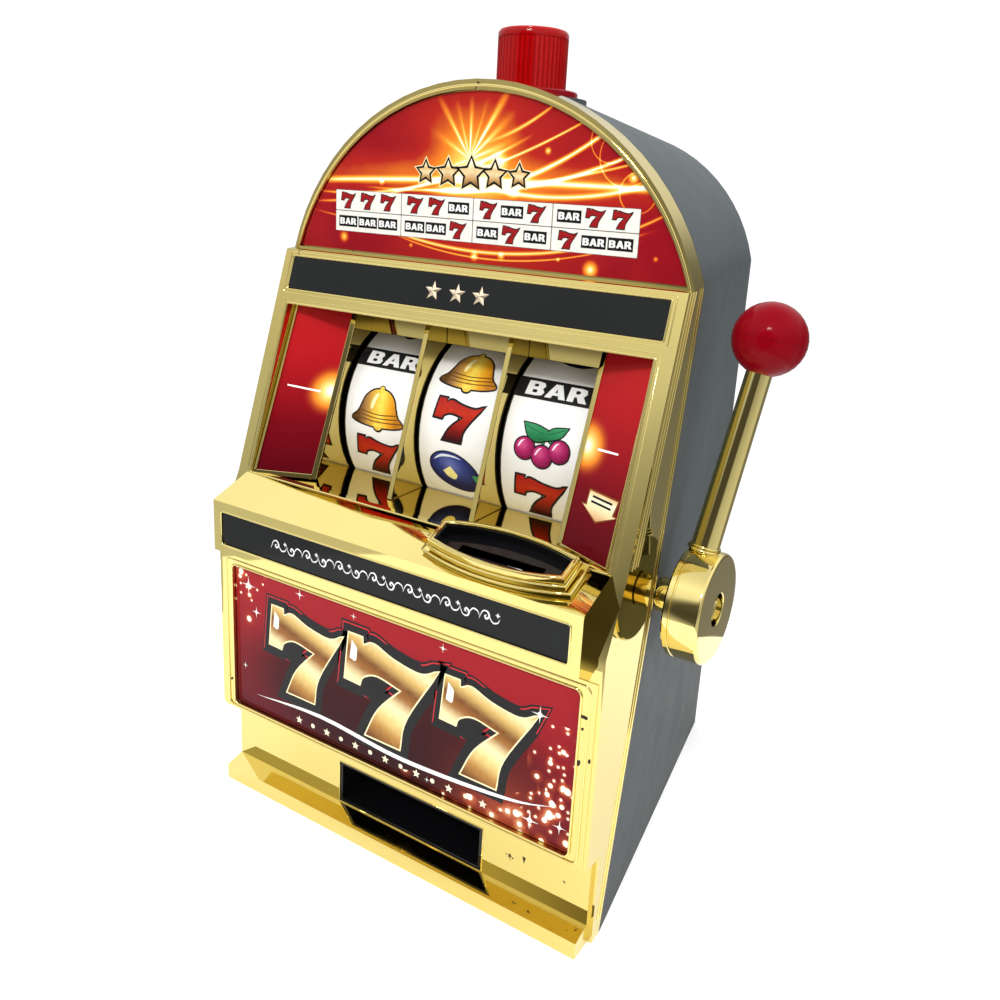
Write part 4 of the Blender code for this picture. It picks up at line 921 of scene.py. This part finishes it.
BOARD = satin_material("board_mask", (0.015, 0.17, 0.055), 0.30, 500.0, False)
PAPER_CONE = satin_material("speaker_cone", (0.018, 0.018, 0.02), 0.55, 700.0, False)
RUBBER = satin_material("stop_rubber", (0.015, 0.015, 0.016), 0.62, 900.0, False)

SLOT_LOOKS = {
    SHELL: GOLD, "gold_metallised_lever": GOLD_SMOOTH, "ball_red": BALL_LOOK,
    "case_satin_dark": CASE, "base_satin_dark": BASE, "printed_black_panel": CHARCOAL,
    "black_gloss_tray": BLACK_GLOSS, "black_inner_plastic": BLACK_SATIN,
    "drum_black_plastic": BLACK_SATIN, "gear_white_plastic": WHITE_PLASTIC,
    "frame_steel": SHEET_STEEL, "bright_steel": BRIGHT_STEEL, "beacon_red_lens": LENS,
    "beacon_red_flange": RED_BASE, "led_red": LED, "bumper_rubber": RUBBER, "board_green": BOARD,
    "battery_wrap": wrap_material(), "speaker_black": PAPER_CONE}
NODE_LOOKS = {
    "top_graphic_panel": burst_material(), "belly_panel": belly_material(),
    "left_reel_panel": side_print_material("left_side_print", -1.0),
    "right_reel_panel": side_print_material("right_side_print", 1.0),
    "reel_bezel": GOLD_RECESS_SHADED, "partition_left": GOLD_SHADED_INSIDE, "partition_right": GOLD_SHADED_INSIDE}
for number, reel_x in enumerate(REEL_X):
    NODE_LOOKS[f"reel_strip_{number + 1}"] = strip_material(f"reel_paper_{number + 1}", reel_x)

# Edge roundings in millimetres; nodes that are not here, such as the shell, get none.
EDGE_WIDTHS = {
    "bill_tray": 0.5, "payout_tray": 0.5, "battery_cover": 0.4, "battery_box": 0.4, "coin_door": 0.35,
    "switch_bezel": 0.3, "switch_slider": 0.3, "switch_body": 0.3, "bill_chute": 0.3,
    "reel_frame_left": 0.3, "reel_frame_right": 0.3, "partition_left": 0.25, "partition_right": 0.25,
    "circuit_board": 0.2, "sector_gear": 0.2, "pinion": 0.2, "reel_bezel": 0.2, "belly_panel": 0.2,
    "shelf_strip": 0.2, "top_graphic_panel": 0.2, "star_band_panel": 0.15}


def dress_nodes():
    slots = {part["node"]: part["material_slot"] for part in frame["record"]["subparts"]}
    for name, target in frame["nodes"].items():
        look = NODE_LOOKS.get(name) or SLOT_LOOKS[slots[name]]
        target.data.materials.clear()
        target.data.materials.append(look)
        for face in target.data.polygons:
            face.material_index = 0
        round_edges(target, EDGE_WIDTHS.get(name, 0.0))


# ---------------------------------------------------------- prints on the panels

BELLY_Y = 1.9
KICK_Y = 9.7
GRAPHIC_Y = 55.5
STRIP_Y = -7.9
SLOPE_UP = (0.0, FRAME_SLOPE, 1.0)
PANEL_SLOPE = 0.38
GOLD_INK = blend_of((
    (-11.0, (0.14, 0.04, 0.010)), (-7.5, (0.45, 0.22, 0.05)), (-4.5, (0.80, 0.60, 0.22)),
    (-1.5, (0.95, 0.83, 0.46)), (1.5, (0.34, 0.14, 0.03)), (4.0, (0.18, 0.06, 0.012)),
    (6.5, (0.70, 0.46, 0.14)), (9.0, (0.94, 0.82, 0.45)), (12.0, (0.60, 0.34, 0.09))))
STAR_INK = blend_of(((-9.0, (0.10, 0.05, 0.02)), (-3.0, (0.55, 0.30, 0.10)), (0.0, (0.95, 0.82, 0.50)),
                     (2.0, (0.62, 0.36, 0.12)), (5.0, (0.92, 0.76, 0.42)), (9.0, (1.0, 0.95, 0.80))))
ARROW_INK = blend_of(((-8.0, (0.62, 0.30, 0.14)), (-2.0, (0.93, 0.74, 0.40)), (3.0, (1.0, 0.93, 0.66)),
                      (7.0, (0.80, 0.50, 0.20))))


def belly_print():
    sheet = Prints("belly_sevens", flat_place((0.0, BELLY_Y, 0.0)))
    gleam = smooth_loop([(-11.0, 8.6, 1), (-11.6, 4.8, 1), (-9.8, 4.6), (-9.4, 7.2, 1)])
    for x, z, scale in ((-50.0, 87.0, 1.0), (1.5, 85.5, 1.12), (54.0, 85.0, 1.02)):
        size = (1.82 * scale, 2.25 * scale)
        for width, colour, lift in ((2.5, INK, 0.04), (2.1, (0.55, 0.02, 0.03), 0.07),
                                    (1.8, INK, 0.10), (0.35, (0.95, 0.84, 0.50), 0.13)):
            sheet.shape([grown(SEVEN, width)], colour, lift, (x, z), size)
        sheet.shape([SEVEN], lambda u, v: GOLD_INK(v + 0.25 * u), 0.16, (x, z), size)
        sheet.shape([gleam], (1.0, 0.98, 0.88), 0.18, (x, z), size)
    swoosh = smooth_loop([(-84.0, 56.0, 1), (-40.0, 60.6), (10.0, 57.6), (66.0, 61.4), (90.0, 67.0, 1),
                          (64.0, 59.6), (10.0, 55.4), (-40.0, 58.6)])
    sheet.shape([swoosh], (0.95, 0.93, 0.90), 0.20)
    for step in range(13):
        spot = (-54.0 + 9.0 * step, 52.6)
        loop = circle_loop(spot, 1.2, 12) if step % 2 else star_loop(2.2, 0.45, spot)
        sheet.shape([loop], (0.98, 0.90, 0.62), 0.20)
    for x, z, reach in ((-87.7, 115.0, 5.0), (-82.5, 101.9, 3.2), (-53.4, 120.0, 3.0), (78.9, 106.0, 4.2),
                        (77.5, 55.3, 4.6), (91.5, 58.1, 3.4), (-20.0, 119.0, 2.0), (30.0, 119.5, 2.4),
                        (-91.0, 70.0, 2.0), (24.0, 52.0, 1.6)):
        sheet.shape([star_loop(reach, 0.12, (x, z), 4)], (1.0, 0.95, 0.86), 0.22)
        sheet.shape([circle_loop((x, z), reach * 0.28, 12)], (1.0, 1.0, 0.97), 0.24)
    sheet.finish(ink_material("belly_ink", 0.16))


SCROLL = ((-4.2, -1.6), (-2.6, 1.9), (-0.4, 2.3), (0.6, 0.4), (-0.8, -0.9), (-1.5, 0.2), (-0.6, 0.7))
SCROLL_TAIL = ((0.6, 0.4), (2.4, -1.7), (4.6, -1.2), (5.6, 0.6))


def shelf_print():
    sheet = Prints("shelf_ornament", flat_place((0.0, STRIP_Y, 146.6)))
    for step in range(-6, 7):
        start = 9.6 * step
        flip = -1.0 if step % 2 else 1.0
        for stroke, first, last, lift in ((SCROLL, 0.42, 0.62, 0.06), (SCROLL_TAIL, 0.5, 0.3, 0.07)):
            line = [(start + u, v * flip) for u, v in stroke]
            sheet.shape([ribbon(line, first, last)], PAPER, lift)
        if step % 2 == 0:
            sheet.shape([star_loop(1.2, 0.45, (start + 4.6, 1.9), 4)], PAPER, 0.08)
    sheet.finish(ink_material("shelf_ink", 0.25))


PAY_HALF = 80.1
PAY_FOOT = 286.6
PAY_TOP = 306.1
PAY_ROWS = (("777", "77B", "7B7", "B77"), ("BBB", "BB7", "B7B", "7BB"))


def pay_table():
    sheet = Prints("pay_table", flat_place((0.0, GRAPHIC_Y, 0.0)))
    sheet.shape([box_loop(-PAY_HALF, PAY_HALF, PAY_FOOT, PAY_TOP)], (0.16, 0.13, 0.11), 0.05)
    wide = PAY_HALF / 2.0
    tall = (PAY_TOP - PAY_FOOT) / 2.0
    pitch = wide / 3.3
    for row, names in enumerate(PAY_ROWS):
        low = PAY_FOOT + tall * (1 - row)
        for column, name in enumerate(names):
            left = -PAY_HALF + wide * column
            cell = rounded_loop(left + 0.2, left + wide - 0.2, low + 0.2, low + tall - 0.2, 0.3, 2)
            sheet.shape([cell], (0.82, 0.80, 0.74), 0.09)
            for index, letter in enumerate(name):
                u, v = at = (left + wide / 2.0 + (index - 1) * pitch, low + tall / 2.0)
                if letter == "7":
                    sheet.shape([grown(SEVEN, 1.2)], INK, 0.12, at, (0.33, 0.36))
                    sheet.shape([SEVEN], (0.30, 0.010, 0.012), 0.16, at, (0.33, 0.36))
                else:
                    half = pitch * 0.47
                    sheet.shape([box_loop(u - half, u + half, v - 2.6, v + 2.6)], INK, 0.12)
                    sheet.word_bar(at, (0.33, 0.42), 0.16, PAPER)
    for index, reach in enumerate((4.4, 5.4, 6.6, 5.4, 4.4)):
        spot = (-26.6 + 12.3 * index, STARS_Z)
        sheet.shape([star_loop(reach + 2.6, 0.52, spot)], (0.98, 0.80, 0.45), 0.07)
        sheet.shape([star_loop(reach + 1.7, 0.52, spot)], INK, 0.10)
        sheet.shape([star_loop(reach, 0.46, spot)], lambda u, v: STAR_INK((v - STARS_Z) * 1.6), 0.14)
    sheet.finish(ink_material("pay_ink", 0.2))


def side_panel_prints():
    white = (1.0, 1.0, 0.98)
    for side, label in SIDES:
        sheet = Prints(label + "_panel_marks", red_panel_place(side, 1.4))
        if side > 0:
            sheet.shape([bar_loop((1.6, 42.2), (13.8, 43.2), 1.0, 0.8)], white, 0.06)
            at = (13.9, 20.6)
            fit = (0.88, 0.76)
            sheet.shape([grown(ARROW, 0.9)], (0.22, 0.06, 0.01), 0.05, at, fit)
            sheet.shape([ARROW], lambda u, v: ARROW_INK(v), 0.09, at, fit)
            for rise in (4.2, 1.4):
                sheet.shape([bar_loop((-6.8, rise), (6.8, rise), 1.2)], INK, 0.12, at, fit)
        else:
            sheet.shape([bar_loop((11.5, 43.4), (28.8, 41.4), 0.8, 1.0)], white, 0.06)
        sheet.finish(ink_material(label + "_mark_ink", 0.2))


# --------------------------------------------------------------- beads and trims


def front_rims():
    """Beads that follow outlines on the shell's front faces."""
    belly = flat_place((0.0, 0.0, 0.0))
    shelf = flat_place((0.0, -8.4, 0.0))
    mouth = flat_place((0.0, KICK_Y, 0.0))
    slope = flat_place(FRAME_FOOT, up=SLOPE_UP)
    window_step = [(-100.2, 3.0), (-100.2, 88.6), (100.2, 88.6), (100.2, 3.0)]
    for name, place, loop, lift, radius in (
            ("belly_inner_bead", belly, rounded_loop(-97.4, 97.4, 47.1, 124.6, 3.2), 0.1, 0.55),
            ("belly_outer_bead", belly, rounded_loop(-101.2, 101.2, 45.6, 127.0, 3.0), 0.0, 0.5),
            ("shelf_bead", shelf, rounded_loop(-94.6, 94.6, 138.2, 155.1, 1.5), 0.0, 0.45),
            ("star_band_bead", slope, rounded_loop(-100.0, 100.0, 93.2, 110.4, 1.0), 0.0, 0.45),
            ("window_bead", slope, rounded_loop(-98.2, 98.2, 0.6, 86.7, 1.0), 0.0, 0.5),
            ("star_band_step", slope, rounded_loop(-101.9, 101.9, 91.4, 112.0, 1.5), 0.0, 0.3),
            ("window_step", slope, window_step, 0.0, 0.3),
            ("payout_bead", mouth, box_loop(-34.6, 50.2, 10.4, 33.1), 0.0, 0.3)):
        # The window's step is open at its foot.
        tube(name, [place(u, v, lift) for u, v in loop], radius, closed=loop is not window_step)


def panel_frames():
    """Gold bars round the two red panels, on the panels' planes; they close the gaps behind."""
    for side, label in SIDES:
        place = red_panel_place(side)
        outer = red_panel_spots(place, side, 97.9, 68.0, 167.1, 251.2)
        near_x, high_z = (70.7, 249.0) if side > 0 else (70.5, 249.4)
        inner = red_panel_spots(place, side, 97.0, near_x, 169.4, high_z)
        plate(label + "_panel_frame", [outer, inner], place, 1.3, 2.1, GOLD, edge=0.3)
        bead = between(place(*inner[0], 2.1), place(*inner[3], 2.1), 24)
        tube(label + "_panel_edge_bead", bead, 0.65, material=GOLD)


RED_PANEL = (97.2, 17.2, 169.2)
RED_PANEL_ACROSS = (26.6, 11.6)


def red_panel_place(side, rise=0.0):
    """Places on a red panel, or this far above it; they start at its left lower corner."""
    far_x, far_y, low_z = RED_PANEL
    wide, deep = RED_PANEL_ACROSS
    start = (far_x - wide, far_y + deep, low_z) if side > 0 else (-far_x, far_y, low_z)
    place = flat_place(start, (wide, -side * deep, 0.0), (0.0, PANEL_SLOPE, 1.0))
    return lambda u, v, lift: place(u, v, lift + rise)


def red_panel_spots(place, side, far_x, near_x, low_z, high_z):
    """Four corners of an upright outline on a red panel, in its plane's own coordinates."""
    origin = place(0.0, 0.0, 0.0)
    u_dir = place(1.0, 0.0, 0.0) - origin
    v_dir = place(0.0, 1.0, 0.0) - origin
    result = []
    for x, z in ((far_x, low_z), (near_x, low_z), (near_x, high_z), (far_x, high_z)):
        share = (RED_PANEL[0] - x) / RED_PANEL_ACROSS[0]
        depth = RED_PANEL[1] + share * RED_PANEL_ACROSS[1] + PANEL_SLOPE * (z - RED_PANEL[2])
        spot = at_frame(side * x, depth, z) - origin
        result.append((spot.dot(u_dir), spot.dot(v_dir)))
    return result


def star_relief():
    """Three small raised stars in the middle of the dark band."""
    place = flat_place(FRAME_FOOT, up=SLOPE_UP)
    look = gold_material("star_gold", (0.95, 0.78, 0.56))
    for index, u in enumerate((-12.6, 0.3, 12.7)):
        work = bmesh.new()
        middle = (u, 101.6)
        loop = [work.verts.new(place(a, b, 0.0) * MM) for a, b in star_loop(4.6, 0.44, middle)]
        top, bottom = (work.verts.new(place(*middle, lift) * MM) for lift in (1.1, -0.4))
        for a, b in zip(loop, loop[1:] + loop[:1]):
            work.faces.new((a, b, top))
            work.faces.new((b, a, bottom))
        bmesh.ops.recalc_face_normals(work, faces=work.faces)
        piece(f"band_star_{index + 1}", work, look)


def side_beads():
    """Parallel beads on both sides, along the front edge and along the seam."""
    for side, label in SIDES:
        for kind, radius, low, high, count, slope, foot, shifts in (
                ("edge", 0.5, 171.0, 276.0, 12, FRAME_SLOPE, FRAME_FOOT[1] - FRAME_SLOPE * FRAME_FOOT[2],
                 (2.6, 5.4, 8.0)),
                ("seam", 0.45, 9.0, 277.0, 24, 0.167, 19.2, (-2.0, -4.6))):
            for number, shift in enumerate(shifts):
                ends = [at_frame(side * SIDE_X, foot + slope * z + shift, z) for z in (low, high)]
                tube(f"{label}_{kind}_bead_{number + 1}", between(*ends, count), radius)


def arch_bead():
    points = []
    for share in range(57):
        angle = math.radians(17.5 + 145.0 * share / 56.0)
        points.append(at_frame(ARCH_R * math.cos(angle), 54.0, ARCH_Z + ARCH_R * math.sin(angle)))
    tube("arch_bead", points, 0.6)


TRAY_CENTRE = (55.3, 5.5)


def bowed_loop(half_u, half_v, bow, steps=10):
    """Rectangle whose long sides are bowed outward."""
    points = []
    for sign in (1.0, -1.0):
        for index in range(steps + 1):
            share = sign * (1.0 - 2.0 * index / steps)
            points.append((half_u * share, sign * (half_v + bow * (1.0 - share * share))))
    return points


def bill_tray_details():
    """Black lining in the tray on the deck, and the steps round its outside."""
    deck_z = 159.8 + DECK_SLOPE * (TRAY_CENTRE[1] + 8.4)
    place = flat_place((*TRAY_CENTRE, deck_z), up=(0.0, 1.0, DECK_SLOPE))
    floor = [bowed_loop(30.0, 4.75, 4.3), box_loop(-20.0, 20.0, -3.6, 0.6)]
    wall = [bowed_loop(30.15, 4.85, 4.38), bowed_loop(29.5, 4.3, 4.3)]
    plate("tray_floor_lining", floor, place, 1.62, 1.9, BLACK_GLOSS)
    plate("tray_wall_lining", wall, place, 1.7, 6.3, BLACK_GLOSS)
    for name, half_u, half_v, bow, lift, radius in (("tray_step_1", 35.1, 8.1, 5.2, 1.9, 0.5),
                                                    ("tray_step_2", 32.6, 7.0, 4.6, 3.9, 0.5),
                                                    ("tray_lip", 31.2, 5.75, 4.5, 6.9, 0.55)):
        loop = bowed_loop(half_u, half_v, bow)
        tube(name, [place(u, v, lift) for u, v in loop], radius, closed=True)


BALL = (132.6, 71.8, 258.9)
BALL_ROUND = 15.0
ARM_FOOT = (118.2, 52.0, 148.8)


def lever_details():
    """Mould line of the ball and the collar where the arm enters the hub."""
    middle = at_frame(*BALL)
    foot = at_frame(*ARM_FOOT)
    along = (middle - foot).normalized()
    side = along.cross(Vector((0.0, 1.0, 0.0))).normalized()
    across = along.cross(side)
    seam = around(middle, side, across, BALL_ROUND - 0.02, 72)
    tube("ball_mould_line", seam, 0.12, BALL_LOOK, "lever", True)
    for number, (reach, radius, thick) in enumerate(((23.6, 6.3, 0.9), (25.0, 6.0, 0.6))):
        points = around(foot + along * reach, side, across, radius, 48)
        tube(f"arm_collar_{number + 1}", points, thick, None, "lever", True)


# Worn spots: the piece's name, its face's depth, and each spot's place and outline.
WEAR = (("worn_spots", 0.0, (
    ((99.0, 113.0), ((-2.2, 0.6), (0.2, 1.1), (2.0, 0.5), (1.2, -0.4), (-0.6, -0.2), (-1.6, -0.7))),
    ((98.6, 92.5), ((-0.4, 1.2), (0.4, 0.9), (0.3, -0.8), (-0.5, -1.3), (-0.8, 0.1))),
    ((103.0, 95.0), ((-0.4, 0.9), (0.4, 0.6), (0.2, -0.9), (-0.6, -0.4))),
    ((98.8, 108.0), ((-0.5, 0.3), (0.4, 0.5), (0.5, -0.4), (-0.3, -0.5))),
    ((-99.4, 60.0), ((-0.3, 0.9), (0.4, 0.4), (0.2, -0.7), (-0.5, -0.3))))),
        ("worn_spot_kick", KICK_Y, (
            ((72.0, 27.0), ((-0.8, 1.6), (0.7, 1.3), (0.4, 0.2), (0.0, -1.6), (-0.4, -0.2))),)))


def worn_spots():
    """Small places where the plating has come off and the dark plastic shows."""
    for name, depth, spots in WEAR:
        sheet = Prints(name, flat_place((0.0, depth, 0.0)))
        for at, loop in spots:
            sheet.shape([smooth_loop(list(loop))], (0.03, 0.022, 0.015), 0.1, at)
        sheet.finish(ink_material(name + "_ink", 0.5))


BEACON_Y = 99.3
BEACON_R = 16.0
LENS_RIBS = 44


def beacon_details():
    """Moulded ribs and the thicker rim band of the lens."""
    work = bmesh.new()
    inner, outer = BEACON_R - 0.2, BEACON_R + 0.3
    section = ((inner, -0.6), (outer, -0.3), (outer, 0.3), (inner, 0.6))
    for index in range(LENS_RIBS):
        angle = math.tau * index / LENS_RIBS
        turn = Matrix.Translation(at_frame(0.0, BEACON_Y, 0.0)) @ Matrix.Rotation(angle, 4, "Z")
        foot, head = ([work.verts.new((turn @ Vector((u, v, z))) * MM) for u, v in section]
                      for z in (355.4, 377.3))
        for k in range(4):
            work.faces.new((foot[k - 1], foot[k], head[k], head[k - 1]))
        work.faces.new(foot[::-1])
        work.faces.new(head)
    bmesh.ops.recalc_face_normals(work, faces=work.faces)
    piece("lens_ribs", work, LENS_RIB)
    ring("lens_rim_band", ((BEACON_R - 0.3, 377.2), (BEACON_R + 0.35, 377.4), (BEACON_R + 0.35, 379.6),
                           (BEACON_R - 0.1, 380.3), (BEACON_R - 0.6, 380.0)), LENS_RIB)


def ring(name, profile, material, steps=64):
    """A turned ring about the beacon's axis; profile is (radius, z)."""
    work = bmesh.new()
    loops = []
    for index in range(steps):
        angle = math.tau * index / steps
        loops.append([work.verts.new(at_frame(r * math.cos(angle), BEACON_Y + r * math.sin(angle), z) * MM)
                      for r, z in profile])
    for index, there in enumerate(loops):
        here = loops[index - 1]
        for k in range(len(profile)):
            work.faces.new((here[k - 1], there[k - 1], there[k], here[k]))
    bmesh.ops.recalc_face_normals(work, faces=work.faces)
    smooth_by_angle(piece(name, work, material))


# -------------------------------------------------------------------- the studio


def camera():
    scene = bpy.context.scene
    data = bpy.data.cameras.new("camera")
    data.sensor_width = CAMERA_SENSOR
    data.lens = CAMERA_LENS
    data.shift_y = CAMERA_SHIFT_Y
    data.clip_start = 0.02
    data.clip_end = 20.0
    made = bpy.data.objects.new("camera", data)
    scene.collection.objects.link(made)
    right = Vector(CAMERA_RIGHT).normalized()
    ahead = Vector(CAMERA_AHEAD).normalized()
    up = right.cross(ahead).normalized()
    turn = Matrix((right, up, -ahead)).transposed().to_4x4()
    made.matrix_world = Matrix.Translation(at_frame(*CAMERA_PLACE) * MM) @ turn
    scene.camera = made


def room():
    """The studio's brightness; what the camera sees directly of it is plain white."""
    world = bpy.data.worlds.new("studio")
    world.use_nodes = True
    world.node_tree.nodes.clear()
    sky = Nodes(world.node_tree)
    toward = sky.add("ShaderNodeTexCoord")["Generated"]
    height = sky.add("ShaderNodeSeparateXYZ", {0: toward})[2]
    glow = sky.ramp(sky.span(height, -1.0, 1.0), [(at, (value,) * 3) for at, value in SKY])
    for direction, begins, full, share in DARK_ROOM:
        dot = sky.add("ShaderNodeVectorMath", {0: toward, 1: Vector(direction).normalized()},
                      operation="DOT_PRODUCT")["Value"]
        glow = sky.mix(sky.span(dot, begins, full, 0.0, share, True), glow, DARK_TONE)
    shine = sky.add("ShaderNodeBackground", {0: glow, 1: SKY_STRENGTH})[0]
    white = sky.add("ShaderNodeBackground", {0: (1.0, 1.0, 1.0), 1: 1.1})[0]
    seen = sky.add("ShaderNodeLightPath")["Is Camera Ray"]
    both = sky.add("ShaderNodeMixShader", {0: seen, 1: shine, 2: white})[0]
    sky.add("ShaderNodeOutputWorld", {0: both})
    bpy.context.scene.world = world


def studio():
    scene = bpy.context.scene
    scene.view_settings.view_transform = "Standard"
    scene.view_settings.look = "None"
    scene.render.film_transparent = False
    for name, spot, aim, size, power, mirrored in LAMPS:
        lamp = bpy.data.lights.new(name, "AREA")
        lamp.shape = "RECTANGLE"
        lamp.size, lamp.size_y = size
        lamp.energy = power
        holder = bpy.data.objects.new(name, lamp)
        scene.collection.objects.link(holder)
        holder.location = spot
        holder.rotation_euler = (Vector(aim) - Vector(spot)).to_track_quat("-Z", "Y").to_euler()
        holder.visible_glossy = mirrored

    mesh = bpy.data.meshes.new("floor")
    disc = circle_loop((0.0, FLOOR_Y), FLOOR_REACH, FLOOR_SIDES)
    mesh.from_pydata([(x, y, 0.0) for x, y in disc], [], [tuple(range(FLOOR_SIDES))])
    floor = bpy.data.objects.new("floor", mesh)
    scene.collection.objects.link(floor)
    s = Shader("floor_paper")
    tone = s.mix(s.grain(3.0, 0.0, 1.0), (0.88, 0.88, 0.88), (0.92, 0.92, 0.92))
    mesh.materials.append(s.done(Base_Color=tone, Roughness=0.6, Emission_Color=(1.0, 1.0, 1.0),
                                 Emission_Strength=0.16))
    floor.location = (0.0, 0.0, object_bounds()[0][2] - FLOOR_GAP)
    floor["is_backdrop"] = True


dress_nodes()
reel_prints()
belly_print()
shelf_print()
pay_table()
side_panel_prints()
front_rims()
panel_frames()
star_relief()
side_beads()
arch_bead()
bill_tray_details()
lever_details()
worn_spots()
beacon_details()
camera()
room()
studio()
